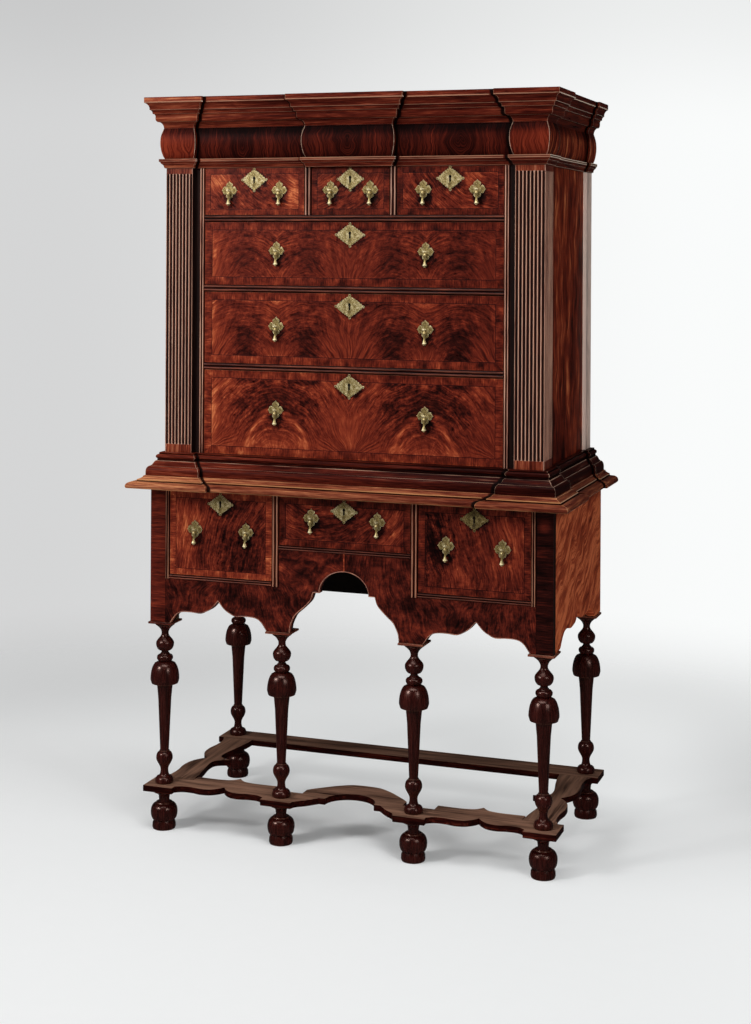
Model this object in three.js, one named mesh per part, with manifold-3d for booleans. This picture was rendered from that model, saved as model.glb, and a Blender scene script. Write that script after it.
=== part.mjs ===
// Walnut high chest of drawers: an upper case between fluted corner pilasters stands on a lower
// case with a scalloped apron, six turned legs, a flat shaped stretcher and ball feet.
// Millimetres, +Z up, front towards -Y, origin on the floor under the middle of the piece.
import * as THREE from 'three';
import { mergeVertices } from 'three/addons/utils/BufferGeometryUtils.js';
import Module from 'manifold-3d';

const wasm = await Module();
wasm.setup();

// Clearances
const seatGap = 0.3; // between pieces that touch
const drawerGap = 0.8; // beside and above a drawer front
const overrun = 2; // how far a cutter runs past the wood, or a fitting into it

// Boards
const frontBoard = 20;
const sideBoard = 20;
const backBoard = 12;
const dustBoard = 10;
const caseTopBoard = 15;

// Lower case
const lowerWidth = 1000;
const lowerDepth = 500;
const lowerHeight = 321;
const lowerStile = 40; // plain corner stile of the front
const lowerEdgeBead = 11; // double bead beside and below the lower drawers
const lowerPartition = 18; // double bead between the lower drawers
const centreDrawerWidth = 327;
const centreDrawerHeight = 115.5;
const outerDrawerHeight = 203;
const postWidth = 32; // inside corner posts that the legs are pinned to

// Apron
const outerLedge = 54; // flat end of the apron over an outer leg
const innerLedge = 59.5; // flat part of the apron over an inner leg
const archSpan = 271; // between the inner ledges
const archShoulderHeight = 99.5; // from the ledges to the shoulders of the arch
const archShoulderSpan = 153;
const archHeadSpan = 122; // width of the round head over the shoulders
const archHeadHeight = 53;
const apronCuspHeight = 61;
const sideLedge = 55;
const sideCuspHeight = 55;

// Upper case
const upperInset = 28; // pilaster faces inside the sides of the lower case
const upperSetback = 18; // pilaster face behind the lower front
const pilasterWidth = 70;
const pilasterDepth = 76; // how far the pilaster runs back along the side
const pilasterWall = 20;
const pilasterProjection = 12; // pilaster face in front of the drawers
const stileFlat = 15; // plain strip beside the pilaster
const stileBead = 13; // double bead beside the drawers
const sideRecess = 8; // side panel behind the pilaster's side
const rearStripWidth = 58; // flat pilaster at the back of the side
const railHeight = 16;
const topRowHeight = 113;
const secondRowHeight = 152;
const thirdRowHeight = 172;
const bottomRowHeight = 203;
const topRowCentreWidth = 196;
const topRowPartition = 17.5;

// Flutes of the pilasters
const fluteCount = 8;
const fluteWidth = 7;
const fluteDepth = 2.8;
const fluteSides = 6; // facets all round a flute cutter
const flutePlinth = 19; // plain foot of the pilaster below the flutes
const fluteHead = 13; // plain band above the flutes

// Beads
const beadProjection = 4;
const beadQuirk = 0.6; // flat on each side of a bead
const beadSteps = 4;

// Mouldings: height, and how far each stands out from the pilaster faces
const waistHeight = 35;
const waistProjection = 71.6;
const baseHeight = 54;
const baseProjection = 35;
const architraveHeight = 22.4;
const architraveProjection = 14;
const friezeHeight = 75;
const friezeSwell = 11.8;
const corniceHeight = 73;
const corniceProjection = 41;
const centreBreak = 208; // width of the middle of frieze and cornice that stands forward
const mouldingWall = 50; // wood left round the hollow of a moulded frame

// Legs, stretcher and feet
const footHeight = 95;
const footRadius = 32.4;
const stretcherThickness = 15;
const stretcherPad = 77; // square under each leg
const frontCuspDepth = 51; // cusp behind the front edge of the pads
const frontStretcherWidth = 80;
const frontArchRise = 112; // head of the middle arch behind the front edge of the pads
const frontArchBack = 182; // its rear edge behind the front edge of the pads
const sideCuspDepth = 50;
const sideStretcherWidth = 72;
const innerCuspDepth = 22; // cusp on the hidden edges of the stretchers
const legHeight = 390;
const legRadius = 35;
const capThickness = 5;
const capWidth = 62;
const capOverhang = 5; // front leg caps in front of the lower case
const rearLegInset = 5; // rear leg caps inside the back of the lower case
const turningSides = 10;

// Drawers
const drawerSide = 11;
const drawerBottom = 8;
const drawerSetIn = 1; // drawer sides inside the edges of the front
const drawerSideDrop = 8; // drawer sides below the top of the front
const drawerStop = 20; // space behind a closed drawer

// Brass fittings
const plateThickness = 1.5;
const plateRadius = 22; // from the middle of a pull plate to its points
const longEscutcheon = { width: 74, height: 58, drop: 31 }; // middle below the drawer's top by drop
const topEscutcheon = { width: 67, height: 57, drop: 29 };
const lowerEscutcheon = { width: 66, height: 54, drop: 28 };
const keyholeWidth = 5;
const keyholeHeight = 16;
const pinReach = 7.8; // hinge pin in front of the drawer
const pinRadius = 1.2;
const eyeRadius = 3.2;
const eyeWidth = 2.4;
const earWall = 1.2;
const earMargin = 0.8; // ear round the pin
const dropLength = 37; // from the hinge pin to the tip
const dropRadius = 5.6;
const dropSides = 6;
const pullHeights = { top: 59, second: 83, third: 91, bottom: 110.5, outer: 112, centre: 68.2 };
const longPullSpacing = 373; // between the two pulls of a drawer
const topOuterPullSpacing = 129.5;
const topCentrePullSpacing = 99;
const outerPullSpacing = 133.4;
const centrePullSpacing = 164.4;

// Levels
const legBottom = footHeight + stretcherThickness;
const lowerBottom = legBottom + legHeight + capThickness;
const waistBottom = lowerBottom + lowerHeight;
const baseBottom = waistBottom + waistHeight;
const upperBottom = baseBottom + baseHeight;
const thirdRowBottom = upperBottom + bottomRowHeight + railHeight;
const secondRowBottom = thirdRowBottom + thirdRowHeight + railHeight;
const topRowBottom = secondRowBottom + secondRowHeight + railHeight;
const friezeBottom = topRowBottom + topRowHeight;
const corniceBottom = friezeBottom + architraveHeight + friezeHeight;

// Planes and places in plan
const upperWidth = lowerWidth - 2 * upperInset; // over the faces of the corner pilasters
const back = lowerDepth / 2;
const lowerFront = -lowerDepth / 2;
const upperFront = lowerFront + upperSetback;
const drawerFront = upperFront + pilasterProjection;
const openingHalf = upperWidth / 2 - pilasterWidth - stileFlat - stileBead;
const sideBlockBack = upperFront + pilasterDepth;
const rearStripFront = back - rearStripWidth;
const upperInside = upperWidth / 2 - sideRecess - sideBoard;
const lowerInside = lowerWidth / 2 - sideBoard;
const outerLegX = lowerWidth / 2 - outerLedge / 2;
const innerLegX = archSpan / 2 + innerLedge / 2;
const frontLegY = lowerFront - capOverhang + capWidth / 2;
const rearLegY = back - rearLegInset - capWidth / 2;
const outerDrawerBottom = waistBottom - outerDrawerHeight;
const centreDrawerBottom = waistBottom - centreDrawerHeight;
const outerDrawerInner = centreDrawerWidth / 2 + lowerPartition;
const outerDrawerOuter = lowerWidth / 2 - lowerStile - lowerEdgeBead;

// Outlines as shares of the sizes that they follow.
// A bay of the apron, from its ledge to its cusp, and up from the ledge to the cusp
const apronBayShares = [
  [0, 0], [0.04, 0.12], [0.1, 0.29], [0.18, 0.42], [0.29, 0.475], [0.46, 0.48],
  [0.64, 0.46], [0.77, 0.57], [0.88, 0.72], [1, 1],
];
const sideBayShares = [
  [0, 0], [0.08, 0.05], [0.15, 0.28], [0.22, 0.46], [0.3, 0.58], [0.42, 0.6],
  [0.6, 0.48], [0.74, 0.5], [0.88, 0.6], [1, 1],
];
// The arch, from a ledge to its shoulder: inwards and up
const archLegShares = [
  [0, 0], [0.03, 0.17], [0.13, 0.32], [0.25, 0.44], [0.46, 0.55], [0.7, 0.68], [0.9, 0.82], [1, 1],
];
// A bay of the stretcher, from a pad to its cusp, and back from the pad line to the cusp
const stretcherBayShares = [
  [0, 0.28], [0.15, 0.48], [0.36, 0.5], [0.56, 0.41], [0.76, 0.47], [0.91, 0.72], [1, 1],
];
const innerBayShares = [[0, 0], [0.45, -0.05], [0.68, 0.03], [0.86, 0.3], [1, 1]];
// The front stretcher's middle: outer curve up to the shoulder, and the whole rear curve
const frontArchShares = [[0, 0], [0.14, 0.27], [0.57, 0.58], [1, 1]];
const frontRearShares = [[0, 0], [0.28, 0.05], [0.53, 0.29], [0.7, 0.52], [0.9, 0.82], [1, 1]];
const frontShoulderShare = 0.51;
const bayFlatShare = 0.5; // the flat stretch of a stretcher's bay, on its way to the cusp
const bayCurveSteps = 10;
const archHeadSteps = 5;

// Moulding profiles from the bottom up: projection and height
const waistShares = [
  [0.39, 0], [0.99, 0.22], [1, 0.4], [0.91, 0.61], [0.7, 0.63], [0.7, 0.8], [0.52, 0.98], [0.52, 1],
];
const baseShares = [
  [1, 0], [1, 0.19], [0.9, 0.38], [0.65, 0.51], [0.47, 0.63], [0.39, 0.75], [0.46, 0.87], [0.3, 1],
];
const architraveShares = [[0.1, 0], [0.33, 0.08], [0.64, 0.46], [1, 0.73], [1, 1]];
const friezeShares = [[0.25, 0], [0.78, 0.23], [1, 0.51], [0.84, 0.77], [0.42, 1]];
const corniceShares = [
  [0.12, 0], [0.3, 0.2], [0.48, 0.25], [0.53, 0.35], [0.58, 0.47], [0.72, 0.56], [0.79, 0.69], [1, 0.83],
  [1, 1],
];

// Turned profiles from the bottom up. Each cut has the form of its curve, its rise as a share of
// the height, and the radius that it reaches as a share of the largest radius.
const footShares = {
  start: 0.83,
  cuts: [
    ['line', 0.05, 0.875], ['line', 0.09, 0.86], ['line', 0.085, 0.76], ['swell', 0.205, 1], ['turn', 0.215, 0.6],
    ['line', 0.005, 0.64], ['line', 0.02, 0.6], ['line', 0.015, 0.42], ['line', 0.055, 0.385],
    ['line', 0.07, 0.41], ['flare', 0.12, 0.8], ['line', 0.07, 0.8],
  ],
};
const legShares = {
  start: 0.6,
  cuts: [
    ['line', 0.01, 0.64], ['turn', 0.032, 0.42], ['swell', 0.04, 0.265], ['ease', 0.073, 0.573],
    ['turn', 0.038, 0.36], ['line', 0.007, 0.36], ['line', 0.003, 0.3], ['line', 0.327, 0.455],
    ['line', 0.087, 0.55], ['line', 0.004, 0.92], ['line', 0.024, 1], ['turn', 0.11, 0.5],
    ['line', 0.004, 0.38], ['swell', 0.021, 0.56], ['turn', 0.019, 0.38], ['line', 0.015, 0.245],
    ['line', 0.008, 0.25], ['swell', 0.047, 0.625], ['ease', 0.062, 0.243], ['flare', 0.055, 0.66],
    ['line', 0.014, 0.66],
  ],
};
const turningSteps = { line: 1, swell: 2, turn: 3, flare: 3, ease: 3 };
// How far a curve has come, from 0 to 1, when a share of its rise is done
const turningCurves = {
  line: (rise) => rise,
  swell: (rise) => Math.sqrt(1 - (1 - rise) ** 2),
  turn: (rise) => 1 - Math.sqrt(1 - rise ** 2),
  flare: (rise) => rise ** 2.2,
  ease: (rise) => (1 - Math.cos(Math.PI * rise)) / 2,
};
// The drop, from the head under its eye to the tip: down and out
const dropShares = [
  [0.07, 0], [0.1, 0.5], [0.2, 0.72], [0.32, 0.42], [0.62, 0.36], [0.86, 1], [0.93, 0.5], [1, 0],
];

// One lobe of a pull plate, from the notch on its left to the point: across and out
const lobeShares = [[-0.36, 0.36], [-0.38, 0.72], [0, 1], [0.38, 0.72]];
// A quarter of an escutcheon, from its side point to the one above
const escutcheonShares = [[1, 0], [0.84, 0.12], [0.56, 0.5], [0.2, 0.76], [0.06, 0.9], [0, 1]];

// Finishes
const finishes = {
  veneer: { color: 0x6e2a17, roughness: 0.35, metalness: 0 },
  walnut: { color: 0x5a2414, roughness: 0.4, metalness: 0 },
  turned: { color: 0x3a1410, roughness: 0.25, metalness: 0 },
  inside: { color: 0x4a3424, roughness: 0.8, metalness: 0 },
  brass: { color: 0xa88f4a, roughness: 0.35, metalness: 1 },
};

const highboy = new THREE.Group();

// Solids
function place(name, finish, geometry) {
  const mesh = new THREE.Mesh(geometry, new THREE.MeshStandardMaterial(finishes[finish]));
  mesh.name = name;
  highboy.add(mesh);
  return mesh;
}

function solidOf(geometry) {
  const bare = geometry.clone();
  bare.deleteAttribute('normal');
  bare.deleteAttribute('uv');
  const merged = mergeVertices(bare);
  const corners = merged.index.array;
  const triangles = [];
  for (let start = 0; start < corners.length; start += 3) {
    const [a, b, c] = corners.subarray(start, start + 3);
    if (a !== b && b !== c && c !== a) {
      triangles.push(a, b, c);
    }
  }
  const vertProperties = merged.attributes.position.array;
  const triVerts = new Uint32Array(triangles);
  return new wasm.Manifold(new wasm.Mesh({ numProp: 3, vertProperties, triVerts }));
}

function geometryOf(solid) {
  const { vertProperties, triVerts } = solid.getMesh();
  const geometry = new THREE.BufferGeometry();
  geometry.setAttribute('position', new THREE.BufferAttribute(vertProperties, 3));
  geometry.setIndex(new THREE.BufferAttribute(triVerts, 1));
  geometry.computeVertexNormals();
  return geometry;
}

function joined(pieces) {
  return geometryOf(pieces.map(solidOf).reduce((whole, piece) => whole.add(piece)));
}

function cutAway(geometry, cutters) {
  const solids = cutters.map(solidOf);
  return geometryOf(solids.reduce((whole, cutter) => whole.subtract(cutter), solidOf(geometry)));
}

// A block between two corners
function block([x0, x1], [y0, y1], [z0, z1]) {
  const geometry = new THREE.BoxGeometry(x1 - x0, y1 - y0, z1 - z0);
  return geometry.translate((x0 + x1) / 2, (y0 + y1) / 2, (z0 + z1) / 2);
}

// An outline given as pairs, made solid along one axis and placed from a start on that axis
function extruded(outline, start, thickness, along) {
  const shape = new THREE.Shape(outline.map(([across, up]) => new THREE.Vector2(across, up)));
  const geometry = new THREE.ExtrudeGeometry(shape, { depth: thickness, bevelEnabled: false, steps: 1 });
  const [x, y, z] = [new THREE.Vector3(1, 0, 0), new THREE.Vector3(0, 1, 0), new THREE.Vector3(0, 0, 1)];
  if (along === 'x') {
    geometry.applyMatrix4(new THREE.Matrix4().makeBasis(y, z, x));
    return geometry.translate(start, 0, 0);
  }
  if (along === 'y') {
    geometry.applyMatrix4(new THREE.Matrix4().makeBasis(x, z, y.negate()));
    return geometry.translate(0, start + thickness, 0);
  }
  return geometry.translate(0, 0, start);
}

// Outlines
function curveThrough(pairs, steps) {
  const guide = new THREE.SplineCurve(pairs.map(([across, up]) => new THREE.Vector2(across, up)));
  return guide.getPoints(steps).map((point) => [point.x, point.y]);
}

// A bay between two flats that meets in a cusp: out from the start, then mirrored to the end
function scallop(start, end, shares, rise, steps = bayCurveSteps) {
  const middle = (start + end) / 2;
  const half = curveThrough(shares.map(([run, up]) => [start + run * (middle - start), up * rise]), steps);
  const mirror = half.slice(0, -1).reverse();
  return [...half, ...mirror.map(([across, up]) => [2 * middle - across, up])];
}

function mirrored(half) {
  return [...half, ...half.filter(([across]) => across !== 0).reverse().map(([across, up]) => [-across, up])];
}

function archHead(halfSpan, rise) {
  const points = [];
  for (let step = 0; step <= archHeadSteps; step++) {
    const turn = (Math.PI / 2) * (step / archHeadSteps);
    points.push([step === archHeadSteps ? 0 : halfSpan * Math.cos(turn), rise * Math.sin(turn)]);
  }
  return points;
}

// Two round beads side by side: places along a strip and out of its face
function doubleBead(width) {
  const points = [];
  for (const middle of [width / 4, (3 * width) / 4]) {
    for (let step = 0; step <= beadSteps; step++) {
      const turn = (Math.PI * step) / beadSteps;
      points.push([middle - Math.cos(turn) * (width / 4 - beadQuirk), Math.sin(turn) * beadProjection]);
    }
  }
  return points;
}

// Turned work
function turned({ start, cuts }, height, radius) {
  const profile = [[0, 0], [start * radius, 0]];
  let level = 0;
  let reach = start;
  for (const [form, rise, share] of cuts) {
    for (let step = 1; step <= turningSteps[form]; step++) {
      const done = step / turningSteps[form];
      const out = reach + (share - reach) * turningCurves[form](done);
      profile.push([out * radius, (level + rise * done) * height]);
    }
    level += rise;
    reach = share;
  }
  profile.push([0, level * height]);
  return lathe(profile, turningSides);
}

function lathe(profile, sides) {
  const geometry = new THREE.LatheGeometry(profile.map(([out, up]) => new THREE.Vector2(out, up)), sides);
  return geometry.rotateX(Math.PI / 2);
}

// Mouldings
// The plan of a moulding at a distance out from the pilaster faces. It breaks forward round the
// corner blocks and, on the frieze and cornice, round the middle of the front. The back is flush.
function mouldingPlan(out, centre) {
  const side = upperWidth / 2;
  const half = [
    [side + out, back],
    [side + out, rearStripFront - out],
    [side - sideRecess + out, rearStripFront - out],
    [side - sideRecess + out, sideBlockBack + out],
    [side + out, sideBlockBack + out],
    [side + out, upperFront - out],
    [side - pilasterWidth - out, upperFront - out],
    [side - pilasterWidth - out, drawerFront - out],
  ];
  if (centre) {
    half.push([centreBreak / 2 + out, drawerFront - out], [centreBreak / 2 + out, upperFront - out]);
  }
  return mirrored(half).reverse();
}

function moulded(profile, centre) {
  const rings = profile.map(([out, up]) => mouldingPlan(out, centre).map(([x, y]) => [x, y, up]));
  const count = rings[0].length;
  const positions = rings.flat(2);
  const index = [];
  for (let ring = 0; ring + 1 < rings.length; ring++) {
    for (let corner = 0; corner < count; corner++) {
      const next = (corner + 1) % count;
      const [a, b] = [ring * count + corner, ring * count + next];
      index.push(a, b, b + count, a, b + count, a + count);
    }
  }
  for (const ring of [0, rings.length - 1]) {
    const plan = rings[ring].map(([x, y]) => new THREE.Vector2(x, y));
    for (const [a, b, c] of THREE.ShapeUtils.triangulateShape(plan, [])) {
      const corners = [a, b, c].map((corner) => corner + ring * count);
      index.push(...(ring === 0 ? corners.reverse() : corners));
    }
  }
  const geometry = new THREE.BufferGeometry();
  geometry.setAttribute('position', new THREE.Float32BufferAttribute(positions, 3));
  geometry.setIndex(index);
  return geometry;
}

function profileOf(shares, projection, bottom, height) {
  return shares.map(([out, up]) => [out * projection, bottom + up * height]);
}

// A moulded frame with a board across it, hollow above or below the board
function mouldedFrame(profile, centre, hollow) {
  const inside = upperWidth / 2 - mouldingWall;
  const depth = [drawerFront + mouldingWall, back - mouldingWall];
  return cutAway(moulded(profile, centre), [block([-inside, inside], depth, hollow)]);
}

function makeMouldings() {
  const waist = profileOf(waistShares, waistProjection, waistBottom, waistHeight - seatGap);
  const waistHollow = [waistBottom - overrun, baseBottom - seatGap - caseTopBoard];
  place('waist_moulding', 'walnut', mouldedFrame(waist, false, waistHollow));

  const base = profileOf(baseShares, baseProjection, baseBottom, baseHeight - seatGap);
  const baseHollow = [baseBottom - overrun, upperBottom - seatGap - caseTopBoard];
  place('base_moulding', 'walnut', mouldedFrame(base, false, baseHollow));

  const architrave = profileOf(architraveShares, architraveProjection, friezeBottom, architraveHeight);
  const cushionBottom = friezeBottom + architraveHeight;
  const cushion = profileOf(friezeShares, friezeSwell, cushionBottom, friezeHeight - seatGap);
  const friezeHollow = [friezeBottom + caseTopBoard, corniceBottom + overrun];
  place('frieze', 'veneer', mouldedFrame([...architrave, ...cushion], true, friezeHollow));

  const cornice = profileOf(corniceShares, corniceProjection, corniceBottom, corniceHeight);
  const corniceHollow = [corniceBottom - overrun, corniceBottom + corniceHeight - caseTopBoard];
  place('cornice', 'walnut', mouldedFrame(cornice, true, corniceHollow));
}

// Corner pilasters of the upper case: a fluted corner with the beaded stile beside the drawers
function makePilasters() {
  const side = upperWidth / 2;
  const inner = drawerFront + frontBoard;
  const stile = doubleBead(stileBead).map(([along, out]) => [openingHalf + along, drawerFront - out]);
  const plan = [
    [openingHalf, inner],
    [openingHalf, drawerFront],
    ...stile,
    [side - pilasterWidth, drawerFront],
    [side - pilasterWidth, upperFront],
    [side, upperFront],
    [side, sideBlockBack - seatGap],
    [side - pilasterWall, sideBlockBack - seatGap],
    [side - pilasterWall, inner],
  ];
  const height = friezeBottom - seatGap - upperBottom;
  for (const [name, hand] of [['left', -1], ['right', 1]]) {
    const corner = extruded(plan.map(([x, y]) => [hand * x, y]), upperBottom, height, 'z');
    place(`corner_pilaster_${name}`, 'walnut', cutAway(corner, fluteCutters(hand)));
  }
}

// Round-ended cutters for the flutes on the front and on the side of one corner
function fluteCutters(hand) {
  const bottom = upperBottom + flutePlinth;
  const top = friezeBottom - fluteHead;
  const radius = fluteWidth / 2;
  const cutters = [];
  for (let flute = 0; flute < fluteCount; flute++) {
    const share = (flute + 0.5) / fluteCount;
    const profile = [[0, bottom], [radius, bottom + radius], [radius, top - radius], [0, top]];
    const across = lathe(profile, fluteSides);
    across.rotateZ(Math.PI / 2);
    across.scale(1, fluteDepth / (radius * Math.sin((2 * Math.PI) / fluteSides)), 1);
    const along = across.clone().rotateZ(Math.PI / 2);
    across.translate(hand * (upperWidth / 2 - pilasterWidth + pilasterWidth * share), upperFront, 0);
    along.translate((hand * upperWidth) / 2, upperFront + pilasterDepth * share, 0);
    cutters.push(across, along);
  }
  return cutters;
}

function makeUpperCase() {
  const height = friezeBottom - seatGap - upperBottom;
  const outer = upperWidth / 2 - sideRecess;
  const plan = [
    [upperInside, sideBlockBack],
    [outer, sideBlockBack],
    [outer, rearStripFront],
    [upperWidth / 2, rearStripFront],
    [upperWidth / 2, back],
    [upperInside, back],
  ];
  for (const [name, hand] of [['left', -1], ['right', 1]]) {
    const outline = plan.map(([x, y]) => [hand * x, y]);
    place(`upper_side_${name}`, 'veneer', extruded(outline, upperBottom, height, 'z'));
  }
  const half = upperInside - seatGap;
  const levels = [upperBottom, upperBottom + height];
  place('upper_back', 'inside', block([-half, half], [back - backBoard, back], levels));
}

// A beaded rail with the dust board behind it, on which the drawers above slide
function divider(top) {
  const bottom = top - railHeight;
  const rear = drawerFront + frontBoard;
  const beads = doubleBead(railHeight).map(([along, out]) => [drawerFront - out, bottom + along]);
  const profile = [[rear, top], [rear, bottom], [drawerFront, bottom], ...beads, [drawerFront, top]];
  const half = openingHalf - seatGap;
  const rail = extruded(profile, -half, 2 * half, 'x');
  const inside = upperInside - seatGap;
  const depth = [rear - overrun, back - backBoard - seatGap];
  const board = block([-inside, inside], depth, [top - dustBoard, top]);
  return [rail, cutToCorners(board, rear)];
}

// The dust board stops behind the corner pilasters
function cutToCorners(board, rear) {
  const notches = [-1, 1].map((hand) => {
    const span = [hand * (openingHalf - seatGap), hand * (upperWidth / 2)].sort((a, b) => a - b);
    return block(span, [rear - 2 * overrun, rear + seatGap], [upperBottom, friezeBottom]);
  });
  return cutAway(board, notches);
}

function makeDividers() {
  place('divider_3', 'walnut', joined(divider(thirdRowBottom)));
  place('divider_2', 'walnut', joined(divider(secondRowBottom)));
  const partitions = [-1, 1].flatMap((hand) => topPartition(hand));
  place('divider_1', 'walnut', joined([...divider(topRowBottom), ...partitions]));
}

// A beaded upright between two drawers of the top row, with its board behind it
function topPartition(hand) {
  const inner = topRowCentreWidth / 2;
  const rear = drawerFront + frontBoard;
  const beads = doubleBead(topRowPartition).map(([along, out]) => [inner + along, drawerFront - out]);
  const plan = [
    [inner, rear],
    [inner, drawerFront],
    ...beads,
    [inner + topRowPartition, drawerFront],
    [inner + topRowPartition, rear],
  ].map(([x, y]) => [hand * x, y]);
  const bottom = topRowBottom - seatGap;
  const top = friezeBottom - seatGap;
  const middle = hand * (inner + topRowPartition / 2);
  const board = [middle - dustBoard / 2, middle + dustBoard / 2];
  return [
    extruded(plan, bottom, top - bottom, 'z'),
    block(board, [rear - overrun, back - backBoard - seatGap], [bottom, top]),
  ];
}

// Lower case
function apronOutline() {
  const shoulder = archShoulderSpan / 2;
  const bayEnds = [lowerWidth / 2 - outerLedge, archSpan / 2 + innerLedge];
  const bay = scallop(...bayEnds, apronBayShares, apronCuspHeight);
  const leg = archLegShares.map(([run, up]) => [
    archSpan / 2 - run * (archSpan / 2 - shoulder),
    up * archShoulderHeight,
  ]);
  const head = archHead(archHeadSpan / 2, archHeadHeight);
  const half = [
    [lowerWidth / 2, 0],
    ...bay,
    ...leg,
    ...head.map(([across, up]) => [across, archShoulderHeight + up]),
  ];
  return mirrored(half).map(([across, up]) => [across, lowerBottom + up]);
}

function frontOpenings() {
  return [
    [-outerDrawerOuter, -outerDrawerInner, outerDrawerBottom],
    [-centreDrawerWidth / 2, centreDrawerWidth / 2, centreDrawerBottom],
    [outerDrawerInner, outerDrawerOuter, outerDrawerBottom],
  ];
}

function lowerBeads() {
  const sunk = lowerFront + overrun;
  const beadBottom = outerDrawerBottom - lowerEdgeBead;
  const height = waistBottom - seatGap - beadBottom;
  const upright = (left, width) => {
    const beads = doubleBead(width).map(([along, out]) => [left + along, lowerFront - out]);
    const right = left + width;
    const plan = [[left, sunk], [left, lowerFront], ...beads, [right, lowerFront], [right, sunk]];
    return extruded(plan, beadBottom, height, 'z');
  };
  const level = (left, right, top) => {
    const bottom = top - lowerEdgeBead;
    const beads = doubleBead(lowerEdgeBead).map(([along, out]) => [lowerFront - out, bottom + along]);
    const profile = [[sunk, bottom], [lowerFront, bottom], ...beads, [lowerFront, top], [sunk, top]];
    return extruded(profile, left, right - left, 'x');
  };
  return [
    upright(-outerDrawerOuter - lowerEdgeBead, lowerEdgeBead),
    upright(-outerDrawerInner, lowerPartition),
    upright(centreDrawerWidth / 2, lowerPartition),
    upright(outerDrawerOuter, lowerEdgeBead),
    ...frontOpenings().map(([left, right, bottom]) => level(left, right, bottom)),
  ];
}

// Posts behind the front board, which carry the floor of the drawers and stand on the legs
function post(legX, y) {
  const outer = Math.min(Math.abs(legX) + postWidth / 2, lowerInside - seatGap);
  const span = [outer - postWidth, outer].map((x) => x * Math.sign(legX)).sort((a, b) => a - b);
  return block(span, y, [lowerBottom, outerDrawerBottom - dustBoard - seatGap]);
}

function makeLowerCase() {
  const top = waistBottom - seatGap;
  const outline = [...apronOutline(), [-lowerWidth / 2, top], [lowerWidth / 2, top]];
  const through = [lowerFront - overrun, lowerFront + frontBoard + overrun];
  const openings = frontOpenings().map(([left, right, bottom]) => (
    block([left, right], through, [bottom, waistBottom])
  ));
  const board = cutAway(extruded(outline, lowerFront, frontBoard, 'y'), openings);
  const postDepth = [lowerFront + frontBoard - overrun, lowerFront + frontBoard + postWidth];
  const posts = [-outerLegX, -innerLegX, innerLegX, outerLegX].map((x) => post(x, postDepth));
  place('lower_front', 'veneer', joined([board, ...lowerBeads(), ...posts]));

  const bay = scallop(-back + sideLedge, back - sideLedge, sideBayShares, sideCuspHeight);
  const front = lowerFront + frontBoard + seatGap;
  const side = [
    [front, lowerBottom],
    ...bay.map(([across, up]) => [across, lowerBottom + up]),
    [back, lowerBottom],
    [back, top],
    [front, top],
  ];
  place('lower_side_left', 'veneer', extruded(side, -lowerWidth / 2, sideBoard, 'x'));
  place('lower_side_right', 'veneer', extruded(side, lowerInside, sideBoard, 'x'));

  const half = lowerInside - seatGap;
  const rear = block([-half, half], [back - backBoard, back], [lowerBottom, top]);
  const rearDepth = [back - backBoard - postWidth, back - backBoard + overrun];
  const rearPosts = [-outerLegX, outerLegX].map((x) => post(x, rearDepth));
  place('lower_back', 'inside', joined([rear, ...rearPosts]));
  makeDrawerFloors(front, back - backBoard - seatGap, top);
}

// The two partitions of the lower case and the boards that its drawers slide on
function makeDrawerFloors(front, rear, top) {
  const floor = (left, right, level) => block([left, right], [front, rear], [level - dustBoard, level]);
  const half = lowerInside - seatGap;
  const inner = centreDrawerWidth / 2;
  const bottom = outerDrawerBottom - dustBoard;
  place('lower_drawer_floors', 'inside', joined([
    floor(-half, -outerDrawerInner + overrun, outerDrawerBottom),
    floor(outerDrawerInner - overrun, half, outerDrawerBottom),
    floor(-inner - overrun, inner + overrun, centreDrawerBottom),
    block([-outerDrawerInner, -inner], [front, rear], [bottom, top]),
    block([inner, outerDrawerInner], [front, rear], [bottom, top]),
  ]));
}

// Legs, feet and stretcher
const legPlaces = {
  front_left: [-outerLegX, frontLegY],
  front_inner_left: [-innerLegX, frontLegY],
  front_inner_right: [innerLegX, frontLegY],
  front_right: [outerLegX, frontLegY],
  rear_left: [-outerLegX, rearLegY],
  rear_right: [outerLegX, rearLegY],
};

function makeLegsAndFeet() {
  const shaft = turned(legShares, legHeight, legRadius);
  const half = capWidth / 2;
  const cap = block([-half, half], [-half, half], [legHeight - seatGap, legHeight + capThickness - seatGap]);
  const leg = joined([shaft, cap]);
  const foot = turned(footShares, footHeight - seatGap, footRadius);
  for (const [name, [x, y]] of Object.entries(legPlaces)) {
    place(`leg_${name}`, 'turned', leg.clone()).position.set(x, y, legBottom);
    place(`foot_${name}`, 'turned', foot.clone()).position.set(x, y, 0);
  }
}

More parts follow.
